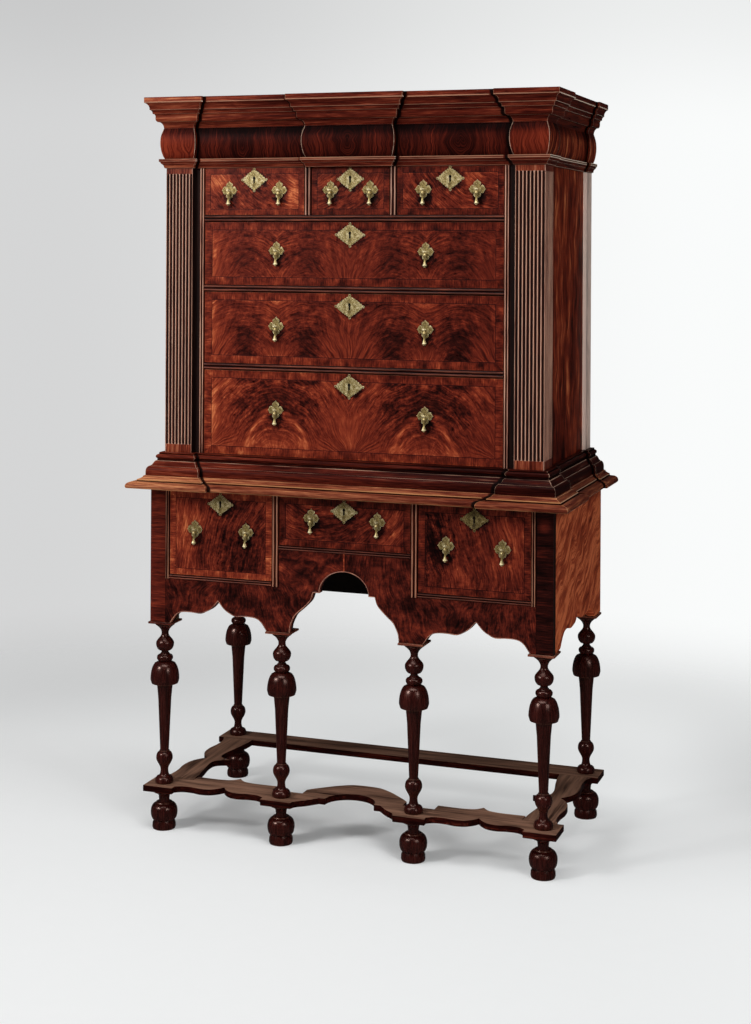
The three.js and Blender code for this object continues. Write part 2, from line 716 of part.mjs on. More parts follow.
function frontStretcherOutline() {
  const padFront = frontLegY - stretcherPad / 2;
  const padRear = frontLegY + stretcherPad / 2;
  const padHalf = stretcherPad / 2;
  const outer = outerLegX + padHalf;
  const bayRear = padFront + frontStretcherWidth + frontCuspDepth * bayFlatShare;
  const sideInner = outer - sideCuspDepth * bayFlatShare - sideStretcherWidth;
  const bay = scallop(outerLegX - padHalf, innerLegX + padHalf, stretcherBayShares, frontCuspDepth);
  const innerBay = scallop(innerLegX + padHalf, sideInner, innerBayShares, innerCuspDepth, bayCurveSteps / 2);
  const archStart = innerLegX - padHalf;
  const shoulder = frontShoulderShare * frontArchRise;
  const archRun = archStart - archShoulderSpan / 2;
  const head = archHead(archHeadSpan / 2, frontArchRise - shoulder);
  const archRear = padFront + frontArchBack;
  const rearDrop = archRear - bayRear;
  return mirrored([
    [outer, padFront],
    [outerLegX - padHalf, padFront],
    ...bay.map(([x, y]) => [x, padFront + y]),
    [innerLegX + padHalf, padFront],
    ...frontArchShares.map(([run, up]) => [archStart - run * archRun, padFront + up * shoulder]),
    ...head.map(([x, y]) => [x, padFront + shoulder + y]),
  ]).concat(mirrored([
    [outer, padRear],
    [sideInner, padRear],
    ...innerBay.map(([x, y]) => [x, bayRear + y]).reverse(),
    [innerLegX + padHalf, padRear],
    [archStart, padRear],
    ...frontRearShares.map(([run, down]) => [run * archStart, archRear - down * rearDrop]).reverse(),
  ]).reverse());
}

function sideStretcherOutline() {
  const padHalf = stretcherPad / 2;
  const start = frontLegY + padHalf;
  const end = rearLegY - padHalf;
  const outer = outerLegX + padHalf;
  const inner = outer - sideCuspDepth * bayFlatShare - sideStretcherWidth + seatGap;
  const bay = scallop(start + seatGap, end - seatGap, stretcherBayShares, sideCuspDepth);
  const innerBay = scallop(start + seatGap, end - seatGap, innerBayShares, innerCuspDepth, bayCurveSteps / 2);
  return [
    ...bay.map(([y, depth]) => [outer - depth, y]),
    ...innerBay.map(([y, depth]) => [inner - depth, y]).reverse(),
  ];
}

function makeStretchers() {
  const thickness = stretcherThickness - seatGap;
  const outer = outerLegX + stretcherPad / 2;
  const rearFront = rearLegY - stretcherPad / 2;
  place('stretcher_front', 'walnut', extruded(frontStretcherOutline(), footHeight, thickness, 'z'));
  const levels = [footHeight, footHeight + thickness];
  place('stretcher_rear', 'walnut', block([-outer, outer], [rearFront, back], levels));
  for (const [name, hand] of [['left', -1], ['right', 1]]) {
    const outline = sideStretcherOutline().map(([x, y]) => [hand * x, y]);
    place(`stretcher_${name}`, 'walnut', extruded(outline, footHeight, thickness, 'z'));
  }
}

// Brass fittings on a drawer front
function pullPlate(x, z, face) {
  const outline = [];
  for (let lobe = 0; lobe < 4; lobe++) {
    const turn = (lobe * Math.PI) / 2;
    for (const [across, out] of lobeShares) {
      const lobeX = across * Math.cos(turn) + out * Math.sin(turn);
      const lobeZ = out * Math.cos(turn) - across * Math.sin(turn);
      outline.push([x + lobeX * plateRadius, z + lobeZ * plateRadius]);
    }
  }
  return extruded(outline, face - plateThickness, plateThickness + overrun, 'y');
}

// Two ears and the pin that the drop's eye hangs on
function pullPin(x, z, face) {
  const inner = eyeWidth / 2 + seatGap;
  const outer = inner + earWall;
  const reach = pinRadius + earMargin;
  const ears = [-1, 1].map((hand) => {
    const span = [x + hand * inner, x + hand * outer].sort((a, b) => a - b);
    return block(span, [face - pinReach - reach, face + overrun], [z - reach, z + reach]);
  });
  const pin = new THREE.CylinderGeometry(pinRadius, pinRadius, inner + outer, dropSides);
  pin.rotateZ(Math.PI / 2).translate(x, face - pinReach, z);
  return [...ears, pin];
}

function escutcheon(x, z, face, { width, height }) {
  const quarter = escutcheonShares.slice(0, -1);
  const corners = [[1, 1], [-1, 1], [-1, -1], [1, -1]];
  const outline = corners.flatMap(([right, up]) => {
    const points = right * up > 0 ? quarter : escutcheonShares.slice(1).reverse();
    return points.map(([across, rise]) => [x + (right * across * width) / 2, z + (up * rise * height) / 2]);
  });
  return extruded(outline, face - plateThickness, plateThickness + overrun, 'y');
}

function keyholeCutter(x, z, face) {
  const half = keyholeWidth / 2;
  const span = [z - keyholeHeight / 2, z + keyholeHeight / 2];
  return block([x - half, x + half], [face - plateThickness - overrun, face + overrun], span);
}

// A drawer: front board, two sides, back and bottom, with its plates and hinge pins
function makeDrawer(name, { left, right, bottom, top, face, pullSpacing, pullHeight, lock }) {
  const x = [left + drawerGap, right - drawerGap];
  const z = [bottom + seatGap, top - drawerGap];
  const frontBack = face + frontBoard;
  const rear = back - backBoard - drawerStop;
  const trayX = [x[0] + drawerSetIn, x[1] - drawerSetIn];
  const tray = block(trayX, [frontBack - overrun, rear], [z[0], z[1] - drawerSideDrop]);
  const hollow = block([trayX[0] + drawerSide, trayX[1] - drawerSide], [frontBack, rear - drawerSide],
    [z[0] + drawerBottom, z[1]]);
  const middle = (left + right) / 2;
  const lockZ = top - lock.drop;
  const pinZ = bottom + pullHeight;
  const pieces = [
    block(x, [face, frontBack], z),
    cutAway(tray, [hollow]),
    escutcheon(middle, lockZ, face, lock),
  ];
  for (const [hand, pullX] of [['left', middle - pullSpacing / 2], ['right', middle + pullSpacing / 2]]) {
    pieces.push(pullPlate(pullX, pinZ, face), ...pullPin(pullX, pinZ, face));
    const drop = place(`drop_${name}_${hand}`, 'brass', dropGeometry());
    drop.position.set(pullX, face - pinReach, pinZ);
  }
  place(`drawer_${name}`, 'veneer', cutAway(joined(pieces), [keyholeCutter(middle, lockZ, face)]));
}

// A hanging drop with its eye round the hinge pin
function dropGeometry() {
  const profile = dropShares.map(([down, out]) => [out * dropRadius, -down * dropLength]);
  const body = lathe(profile.reverse(), dropSides);
  const holeRadius = pinRadius + seatGap;
  const hole = new THREE.CylinderGeometry(holeRadius, holeRadius, eyeWidth + overrun, dropSides);
  const eye = new THREE.CylinderGeometry(eyeRadius, eyeRadius, eyeWidth, dropSides);
  eye.rotateZ(Math.PI / 2);
  hole.rotateZ(Math.PI / 2);
  return cutAway(joined([body, eye]), [hole]);
}

function makeDrawers() {
  const rows = [
    ['second', secondRowBottom, secondRowHeight],
    ['third', thirdRowBottom, thirdRowHeight],
    ['bottom', upperBottom, bottomRowHeight],
  ];
  for (const [row, bottom, height] of rows) {
    makeDrawer(row, {
      left: -openingHalf, right: openingHalf, bottom, top: bottom + height, face: drawerFront,
      pullSpacing: longPullSpacing, pullHeight: pullHeights[row], lock: longEscutcheon,
    });
  }
  const inner = topRowCentreWidth / 2;
  const outer = inner + topRowPartition;
  const topRow = [
    ['left', -openingHalf, -outer, topOuterPullSpacing],
    ['centre', -inner, inner, topCentrePullSpacing],
    ['right', outer, openingHalf, topOuterPullSpacing],
  ];
  for (const [hand, left, right, pullSpacing] of topRow) {
    makeDrawer(`top_${hand}`, {
      left, right, bottom: topRowBottom, top: friezeBottom, face: drawerFront,
      pullSpacing, pullHeight: pullHeights.top, lock: topEscutcheon,
    });
  }
  const lowerRow = [
    ['left', outerPullSpacing, 'outer'],
    ['centre', centrePullSpacing, 'centre'],
    ['right', outerPullSpacing, 'outer'],
  ];
  frontOpenings().forEach(([left, right, bottom], index) => {
    const [hand, pullSpacing, size] = lowerRow[index];
    makeDrawer(`lower_${hand}`, {
      left, right, bottom, top: waistBottom, face: lowerFront,
      pullSpacing, pullHeight: pullHeights[size], lock: lowerEscutcheon,
    });
  });
}

makeMouldings();
makePilasters();
makeUpperCase();
makeDividers();
makeLowerCase();
makeLegsAndFeet();
makeStretchers();
makeDrawers();

// The origin is under the middle between the waist moulding's front and the back
highboy.position.y = (waistProjection - upperFront - back) / 2;

export default highboy;
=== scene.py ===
"""Walnut high chest of drawers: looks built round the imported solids."""
import math

import bmesh
import bpy
from mathutils import Euler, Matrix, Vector
from mathutils.geometry import tessellate_polygon


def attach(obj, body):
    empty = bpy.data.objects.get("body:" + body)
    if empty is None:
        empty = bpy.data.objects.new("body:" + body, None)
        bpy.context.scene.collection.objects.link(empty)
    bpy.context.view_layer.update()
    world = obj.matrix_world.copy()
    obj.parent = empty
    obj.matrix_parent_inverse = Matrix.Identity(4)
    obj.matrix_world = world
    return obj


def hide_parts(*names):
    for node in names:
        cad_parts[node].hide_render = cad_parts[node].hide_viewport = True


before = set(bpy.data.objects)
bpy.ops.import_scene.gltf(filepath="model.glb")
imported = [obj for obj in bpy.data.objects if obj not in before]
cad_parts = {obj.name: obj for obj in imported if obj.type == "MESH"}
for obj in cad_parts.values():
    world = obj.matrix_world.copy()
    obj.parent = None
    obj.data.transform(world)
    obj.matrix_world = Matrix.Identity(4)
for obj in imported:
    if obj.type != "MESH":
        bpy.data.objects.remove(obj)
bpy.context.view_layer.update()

# Lengths are written in millimetres, in the source's own place, and turned into metres by at()
MM = 0.001
FRAME_SHIFT_Y = 26.8

# Sizes repeated from the solids
SEAT_GAP = 0.3
FRONT_BOARD, SIDE_BOARD, BACK_BOARD, DUST_BOARD, TOP_BOARD = 20, 20, 12, 10, 15
LOWER_WIDTH, LOWER_DEPTH, LOWER_HEIGHT = 1000, 500, 321
LOWER_STILE, LOWER_EDGE_BEAD, LOWER_PARTITION = 40, 11, 18
CENTRE_DRAWER_WIDTH, CENTRE_DRAWER_HEIGHT, OUTER_DRAWER_HEIGHT = 327, 115.5, 203
POST_SIZE = 32
OUTER_LEDGE, INNER_LEDGE, ARCH_SPAN = 54, 59.5, 271
ARCH_SHOULDER_HEIGHT, ARCH_SHOULDER_SPAN = 99.5, 153
ARCH_HEAD_SPAN, ARCH_HEAD_HEIGHT = 122, 53
APRON_CUSP, SIDE_LEDGE, SIDE_CUSP = 61, 55, 55
UPPER_WIDTH, UPPER_SETBACK = 944, 18
PILASTER_WIDTH, PILASTER_DEPTH, PILASTER_WALL, PILASTER_PROJECTION = 70, 76, 20, 12
STILE_FLAT, STILE_BEAD, SIDE_RECESS, REAR_STRIP = 15, 13, 8, 58
RAIL = 16
TOP_ROW, SECOND_ROW, THIRD_ROW, BOTTOM_ROW = 113, 152, 172, 203
TOP_CENTRE_WIDTH, TOP_PARTITION = 196, 17.5
FLUTES, FLUTE_WIDTH, FLUTE_DEPTH, FLUTE_PLINTH, FLUTE_HEAD = 8, 7, 2.8, 19, 13
BEAD_PROJECTION, BEAD_QUIRK = 4, 0.6
WAIST_HEIGHT, WAIST_PROJECTION = 35, 71.6
BASE_HEIGHT, BASE_PROJECTION = 54, 35
ARCHITRAVE_HEIGHT, ARCHITRAVE_PROJECTION = 22.4, 14
FRIEZE_HEIGHT, FRIEZE_SWELL = 75, 11.8
CORNICE_HEIGHT, CORNICE_PROJECTION = 73, 41
CENTRE_BREAK, MOULDING_WALL, FLAT_RIM = 208, 50, 3
FOOT_HEIGHT, FOOT_RADIUS = 95, 32.4
STRETCHER, STRETCHER_PAD = 15, 77
FRONT_CUSP, FRONT_BAND, FRONT_ARCH_RISE, FRONT_ARCH_BACK = 51, 80, 112, 182
SIDE_STRETCHER_CUSP, SIDE_BAND, INNER_CUSP = 50, 72, 22
LEG_HEIGHT, LEG_RADIUS, CAP, CAP_SIZE, CAP_OVERHANG, REAR_LEG_INSET = 390, 35, 5, 62, 5, 5
DRAWER_GAP, DRAWER_SIDE, DRAWER_BOTTOM, DRAWER_SET_IN = 0.8, 11, 8, 1
DRAWER_SIDE_DROP, DRAWER_STOP = 8, 20
PLATE, PLATE_RADIUS = 1.9, 22.6
PLATE_CHAMFER = 0.7
PIN_REACH, PIN_RADIUS, PIN_HALF, PIN_SIDES = 7.8, 1.2, 4.4, 16
EAR_NEAR, EAR_FAR, EAR_HALF = 1.5, 2.7, 2
RING_RADIUS, RING_TUBE, RING_STRETCH, RING_SIDES, RING_TUBE_SIDES = 2.35, 0.85, 1.3, 24, 10
DROP_LENGTH, DROP_RADIUS = 37, 5.6

# Levels and planes
LEG_BOTTOM = FOOT_HEIGHT + STRETCHER
LOWER_BOTTOM = LEG_BOTTOM + LEG_HEIGHT + CAP
WAIST_BOTTOM = LOWER_BOTTOM + LOWER_HEIGHT
BASE_BOTTOM = WAIST_BOTTOM + WAIST_HEIGHT
UPPER_BOTTOM = BASE_BOTTOM + BASE_HEIGHT
THIRD_BOTTOM = UPPER_BOTTOM + BOTTOM_ROW + RAIL
SECOND_BOTTOM = THIRD_BOTTOM + THIRD_ROW + RAIL
TOP_BOTTOM = SECOND_BOTTOM + SECOND_ROW + RAIL
FRIEZE_BOTTOM = TOP_BOTTOM + TOP_ROW
CORNICE_BOTTOM = FRIEZE_BOTTOM + ARCHITRAVE_HEIGHT + FRIEZE_HEIGHT
BACK = LOWER_DEPTH / 2
LOWER_FRONT = -LOWER_DEPTH / 2
UPPER_FRONT = LOWER_FRONT + UPPER_SETBACK
DRAWER_FRONT = UPPER_FRONT + PILASTER_PROJECTION
OPENING_HALF = UPPER_WIDTH / 2 - PILASTER_WIDTH - STILE_FLAT - STILE_BEAD
SIDE_BLOCK_BACK = UPPER_FRONT + PILASTER_DEPTH
REAR_STRIP_FRONT = BACK - REAR_STRIP
UPPER_INSIDE = UPPER_WIDTH / 2 - SIDE_RECESS - SIDE_BOARD
LOWER_INSIDE = LOWER_WIDTH / 2 - SIDE_BOARD
OUTER_LEG_X = LOWER_WIDTH / 2 - OUTER_LEDGE / 2
INNER_LEG_X = ARCH_SPAN / 2 + INNER_LEDGE / 2
FRONT_LEG_Y = LOWER_FRONT - CAP_OVERHANG + CAP_SIZE / 2
REAR_LEG_Y = BACK - REAR_LEG_INSET - CAP_SIZE / 2
PAD_HALF = STRETCHER_PAD / 2
OUTER_DRAWER_BOTTOM = WAIST_BOTTOM - OUTER_DRAWER_HEIGHT
CENTRE_DRAWER_BOTTOM = WAIST_BOTTOM - CENTRE_DRAWER_HEIGHT
OUTER_INNER = CENTRE_DRAWER_WIDTH / 2 + LOWER_PARTITION
OUTER_OUTER = LOWER_WIDTH / 2 - LOWER_STILE - LOWER_EDGE_BEAD

# Outlines as shares, as in the solids
APRON_BAY = [(0, 0), (0.04, 0.12), (0.1, 0.29), (0.18, 0.42), (0.29, 0.475), (0.46, 0.48),
             (0.64, 0.46), (0.77, 0.57), (0.88, 0.72), (1, 1)]
SIDE_BAY = [(0, 0), (0.08, 0.05), (0.15, 0.28), (0.22, 0.46), (0.3, 0.58), (0.42, 0.6),
            (0.6, 0.48), (0.74, 0.5), (0.88, 0.6), (1, 1)]
ARCH_LEG = [(0, 0), (0.03, 0.17), (0.13, 0.32), (0.25, 0.44), (0.46, 0.55), (0.7, 0.68),
            (0.9, 0.82), (1, 1)]
STRETCHER_BAY = [(0, 0.28), (0.15, 0.48), (0.36, 0.5), (0.56, 0.41), (0.76, 0.47),
                 (0.91, 0.72), (1, 1)]
INNER_BAY = [(0, 0), (0.45, -0.05), (0.68, 0.03), (0.86, 0.3), (1, 1)]
SIDE_INNER_BAY = [(0, 0), (0.2, -0.12), (0.45, -0.42), (0.7, -0.78), (0.87, -0.76),
                  (0.95, -0.1), (1, 1)]
FRONT_ARCH = [(0, 0), (0.14, 0.27), (0.57, 0.58), (1, 1)]
FRONT_REAR = [(0, 0), (0.28, 0.05), (0.53, 0.29), (0.7, 0.52), (0.9, 0.82), (1, 1)]
FRONT_SHOULDER = 0.51
BAY_FLAT = 0.5
STRETCHER_OUTER = OUTER_LEG_X + PAD_HALF
STRETCHER_INNER = STRETCHER_OUTER - SIDE_STRETCHER_CUSP * BAY_FLAT - SIDE_BAND
CURVE_STEPS = 36

# Moulding profiles: runs of points, each a straight line or a smooth curve on from the run before
WAIST_RUNS = [[(0.39, 0), (0.97, 0.17)], [(1, 0.28), (0.99, 0.42), (0.94, 0.54), (0.86, 0.61)],
              [(0.7, 0.63)], [(0.7, 0.76)], [(0.64, 0.8), (0.57, 0.88), (0.54, 0.98)], [(0.52, 1)]]
BASE_RUNS = [[(1, 0), (1, 0.17)], [(0.98, 0.26), (0.92, 0.35), (0.82, 0.41)], [(0.76, 0.41)],
             [(0.66, 0.47), (0.58, 0.56), (0.5, 0.63)], [(0.4, 0.65)], [(0.39, 0.73)],
             [(0.47, 0.78), (0.47, 0.86), (0.39, 0.91)], [(0.3, 0.93)], [(0.3, 1)]]
ARCHITRAVE_RUNS = [[(0.1, 0), (0.3, 0.05)], [(0.34, 0.2), (0.46, 0.36), (0.62, 0.46)],
                   [(0.7, 0.47)], [(0.8, 0.62), (1, 0.73)], [(1, 1)]]
FRIEZE_RUNS = [[(0.25, 0), (0.55, 0.1), (0.8, 0.24), (0.96, 0.4), (1, 0.52), (0.96, 0.66),
                (0.82, 0.8), (0.42, 1)]]
CORNICE_RUNS = [[(0.12, 0), (0.14, 0.07), (0.2, 0.14), (0.3, 0.2)], [(0.4, 0.2)],
                [(0.48, 0.25), (0.5, 0.33)], [(0.5, 0.4), (0.55, 0.46)], [(0.62, 0.46)],
                [(0.64, 0.53), (0.7, 0.58)], [(0.76, 0.59)],
                [(0.77, 0.68), (0.84, 0.76), (0.95, 0.81)], [(1, 0.82)], [(1, 1)]]

# Turned profiles: form of the curve, rise as a share of the height, radius share that it reaches
FOOT_CUTS = (0.83, [
    ("line", 0.05, 0.875), ("line", 0.09, 0.86), ("line", 0.085, 0.76), ("swell", 0.205, 1),
    ("turn", 0.215, 0.6), ("line", 0.005, 0.64), ("line", 0.02, 0.6), ("line", 0.015, 0.42),
    ("line", 0.055, 0.385), ("line", 0.07, 0.41), ("flare", 0.12, 0.8), ("line", 0.07, 0.8),
])
LEG_CUTS = (0.6, [
    ("line", 0.01, 0.64), ("turn", 0.032, 0.42), ("swell", 0.04, 0.265), ("ease", 0.073, 0.573),
    ("turn", 0.038, 0.36), ("line", 0.007, 0.36), ("line", 0.003, 0.3), ("line", 0.327, 0.455),
    ("line", 0.087, 0.55), ("line", 0.004, 0.92), ("line", 0.024, 1), ("turn", 0.11, 0.5),
    ("line", 0.004, 0.38), ("swell", 0.021, 0.56), ("turn", 0.019, 0.38), ("line", 0.015, 0.245),
    ("line", 0.008, 0.25), ("swell", 0.047, 0.625), ("ease", 0.062, 0.243), ("flare", 0.055, 0.66),
    ("line", 0.014, 0.66),
])
TURNING_STEPS = {"line": 1, "swell": 8, "turn": 10, "flare": 12, "ease": 12}
TURNING_CURVES = {
    "line": lambda rise: rise,
    "swell": lambda rise: math.sqrt(1 - (1 - rise) ** 2),
    "turn": lambda rise: 1 - math.sqrt(1 - rise ** 2),
    "flare": lambda rise: rise ** 2.2,
    "ease": lambda rise: (1 - math.cos(math.pi * rise)) / 2,
}
TURNING_SIDES = 48
DROP_PROFILE = [
    (0.09, 0), (0.1, 0.34), (0.14, 0.52), (0.19, 0.68), (0.24, 0.76), (0.28, 0.72), (0.31, 0.56),
    (0.34, 0.42), (0.42, 0.34), (0.52, 0.33), (0.62, 0.4), (0.71, 0.54), (0.78, 0.72), (0.84, 0.92),
    (0.865, 1), (0.88, 1), (0.89, 0.9), (0.9, 0.4), (0.915, 0.4), (0.93, 0.5), (0.955, 0.5),
    (0.98, 0.34), (1, 0),
]
DROP_SIDES = 24

# Brass outlines as shares: half a lobe of a plate, and a quarter of an escutcheon
LOBE = [
    (0.27, 0.27), (0.3, 0.33), (0.37, 0.42), (0.42, 0.53), (0.41, 0.65), (0.32, 0.76), (0.17, 0.83),
    (0.07, 0.89), (0, 1),
]
PLATE_SPREAD = 0.92
ESCUTCHEON_RING, ESCUTCHEON_HOLE, ESCUTCHEON_BULGE = 3.3, 1.5, 0.6
ESCUTCHEON_SCALLOPS, SCALLOP_DEPTH = 5, 1.9
KEYHOLE = [(-2.4, -8), (2.4, -8), (2.2, 1.2), (3.1, 2.4), (3.5, 4.6), (2.6, 7.2), (0, 8.4),
           (-2.6, 7.2), (-3.5, 4.6), (-3.1, 2.4), (-2.2, 1.2)]


def at(x, y, z):
    return (x * MM, (y + FRAME_SHIFT_Y) * MM, z * MM)


# ---- Materials: arithmetic on node sockets


def fill(slot, item):
    """Links a number or a socket to an input, or sets the input to a constant."""
    item = getattr(item, "socket", item)
    if isinstance(item, bpy.types.NodeSocket):
        slot.id_data.links.new(item, slot)
    else:
        slot.default_value = item


def add_node(tree, kind, *places, **named):
    """A node with inputs filled: the first ones by place, others by name."""
    node = tree.nodes.new("ShaderNode" + kind)
    for slot, item in zip(node.inputs, places):
        fill(slot, item)
    for name, item in named.items():
        fill(node.inputs[name.replace("_", " ")], item)
    return node


class Number:
    """A number in a node tree. Arithmetic on it adds Math nodes."""

    def __init__(self, socket):
        self.socket = socket

    def apply(self, operation, *others):
        node = add_node(self.socket.id_data, "Math", self, *others)
        node.operation = operation
        return Number(node.outputs[0])

    def __add__(self, other):
        return self.apply("ADD", other)

    def __sub__(self, other):
        return self.apply("SUBTRACT", other)

    def __mul__(self, other):
        return self.apply("MULTIPLY", other)

    def __truediv__(self, other):
        return self.apply("DIVIDE", other)

    def __neg__(self):
        return self * -1

    def __abs__(self):
        return self.apply("ABSOLUTE")

    def squared(self):
        return self * self

    def root(self):
        return self.apply("SQRT")

    def least(self, other):
        return self.apply("MINIMUM", other)

    def most(self, other):
        return self.apply("MAXIMUM", other)

    def above(self, limit):
        return self.apply("GREATER_THAN", limit)

    def fade(self, start, end):
        """Smoothly from 0 at start to 1 at end."""
        node = add_node(self.socket.id_data, "MapRange", self, start, end)
        node.interpolation_type = "SMOOTHSTEP"
        return Number(node.outputs["Result"])

    def blend(self, other, share):
        """This number where share is 0 and the other where it is 1."""
        return self + (other - self) * share


class Recipe:
    """The node tree of a material or world, with short words for what is needed here."""

    def __init__(self, name, kind=bpy.data.materials):
        self.owner = kind.new(name)
        self.owner.use_nodes = True
        self.tree = self.owner.node_tree
        self.shader = self.tree.nodes.get("Principled BSDF")

    def node(self, kind, *places, **named):
        return add_node(self.tree, kind, *places, **named)

    def split(self, socket):
        return [Number(output) for output in self.node("SeparateXYZ", socket).outputs]

    def place(self):
        """The place on the object in millimetres, in the source's own frame."""
        x, y, z = (part * (1 / MM) for part in self.split(self.node("TexCoord").outputs["Object"]))
        return x, y - FRAME_SHIFT_Y, z

    def stored(self, name):
        """The outputs of a value that the mesh carries."""
        node = self.node("Attribute")
        node.attribute_name = name
        return node.outputs

    def grain(self):
        """Millimetres along the grain and two ways across it, from the mesh."""
        return [part * (1 / MM) for part in self.split(self.stored("grain")["Vector"])]

    def wear_and_shade(self):
        return Number(self.stored("wear_and_shade")["Fac"])

    def facing(self):
        return self.split(self.node("NewGeometry").outputs["Normal"])

    def noise(self, place, detail=3, roughness=0.55, warp=0.0):
        """Noise round 0, from about -1 to 1, at three numbers."""
        node = self.node("TexNoise", Vector=self.node("CombineXYZ", *place).outputs[0], Scale=1,
                         Detail=detail, Roughness=roughness, Distortion=warp)
        return Number(node.outputs[0]) * 4 - 2

    def ramp(self, factor, stops):
        node = self.node("ValToRGB", factor)
        ramp = node.color_ramp
        ramp.elements[0].position, ramp.elements[1].position = stops[0][0], stops[-1][0]
        for position, _ in stops[1:-1]:
            ramp.elements.new(position)
        for element, (_, colour) in zip(ramp.elements, stops):
            element.color = (*colour, 1)
        return node.outputs[0]

    def mix(self, share, first, second):
        node = self.node("Mix", share)
        node.data_type = "RGBA"
        for item, slot in ((first, node.inputs[6]), (second, node.inputs[7])):
            fill(slot, (*item, 1) if isinstance(item, tuple) else item)
        return node.outputs[2]

    def mix_shader(self, share, first, second):
        return self.node("MixShader", share, first.outputs[0], second.outputs[0])

    def surface(self, shader):
        output = next(node for node in self.tree.nodes if node.type.startswith("OUTPUT"))
        fill(output.inputs["Surface"], shader.outputs[0])

    def bump(self, height, depth=0.05):
        """Relief in millimetres of depth where height goes from 0 to 1."""
        node = self.node("Bump", Strength=1, Distance=depth * MM, Height=height)
        fill(self.shader.inputs["Normal"], node.outputs["Normal"])

    def finish(self, colour, roughness, **constants):
        fill(self.shader.inputs["Base Color"], colour)
        fill(self.shader.inputs["Roughness"], roughness)
        for name, value in constants.items():
            self.shader.inputs[name.replace("_", " ")].default_value = value
        return self.owner


POLISH = {"Specular_IOR_Level": 0.1}
GLOSSY = {"Specular_IOR_Level": 0.5, "Specular_Tint": (1.0, 0.66, 0.56, 1.0)}
MATT = {"Specular_IOR_Level": 0.02}
VENEER_TONES = [
    (0.0, (0.004, 0.0008, 0.0007)), (0.25, (0.024, 0.0032, 0.0021)), (0.5, (0.098, 0.0118, 0.0058)),
    (0.7, (0.2, 0.027, 0.0112)), (0.87, (0.35, 0.066, 0.024)), (1.0, (0.58, 0.17, 0.062)),
]
WALNUT_TONES = [
    (0.0, (0.009, 0.0015, 0.0011)), (0.25, (0.03, 0.004, 0.0026)), (0.5, (0.092, 0.0122, 0.0062)),
    (0.75, (0.23, 0.044, 0.0205)), (1.0, (0.48, 0.165, 0.07)),
]
WAIST_TONES = [
    (0.0, (0.009, 0.0015, 0.0011)), (0.25, (0.03, 0.0045, 0.003)), (0.5, (0.095, 0.0165, 0.0085)),
    (0.75, (0.24, 0.068, 0.031)), (1.0, (0.5, 0.2, 0.088)),
]
TURNED_TONES = [
    (0.0, (0.003, 0.0007, 0.0006)), (0.35, (0.014, 0.002, 0.0017)), (0.65, (0.05, 0.0062, 0.0043)),
    (1.0, (0.16, 0.026, 0.015)),
]
SIDE_TONES = [
    (0.0, (0.012, 0.002, 0.0012)), (0.3, (0.08, 0.01, 0.005)), (0.55, (0.2, 0.031, 0.0125)),
    (0.8, (0.37, 0.064, 0.0245)), (1.0, (0.66, 0.165, 0.062)),
]
INSIDE_TONES = [(0.0, (0.05, 0.027, 0.014)), (0.5, (0.16, 0.095, 0.05)), (1.0, (0.34, 0.23, 0.13))]
# Edge colours: worn finish together with a painted highlight on the arrises
WORN_AND_LIT = (0.3, 0.14, 0.085)
PALE = (0.52, 0.31, 0.22)
TAN = (0.56, 0.27, 0.11)
LOW_WORN_AND_LIT = (0.4, 0.21, 0.13)
BASE_WORN_AND_LIT = (0.42, 0.25, 0.17)
# Painted highlight of the upper sides' rear strip
STRIP_HIGHLIGHT = (0.95, 0.74, 0.63)
# Near-black for dirt and painted shade in quirks, re-entrant corners and shaded inner faces
DIRT_AND_SHADE = (0.0025, 0.001, 0.0008)
# Dust together with a painted sheen of overhead light on upward faces
DUST_AND_SHEEN = (0.28, 0.148, 0.097)
GLINT = (0.95, 0.78, 0.62)


def wood_lines(recipe, along, across, depth):
    """Fine pores, streaks and broad bands of plain wood that runs along one way."""
    drift = recipe.noise((along * 0.004, across * 0.012, depth * 0.012), 2) * 5
    bent = across + drift
    fine = recipe.noise((along * 0.02, bent * 0.4, depth * 0.4), 3, 0.66)
    streak = recipe.noise((along * 0.007, bent * 0.17, depth * 0.17), 3, 0.7)
    broad = recipe.noise((along * 0.004, bent * 0.045, depth * 0.045), 2)
    return fine, streak, broad


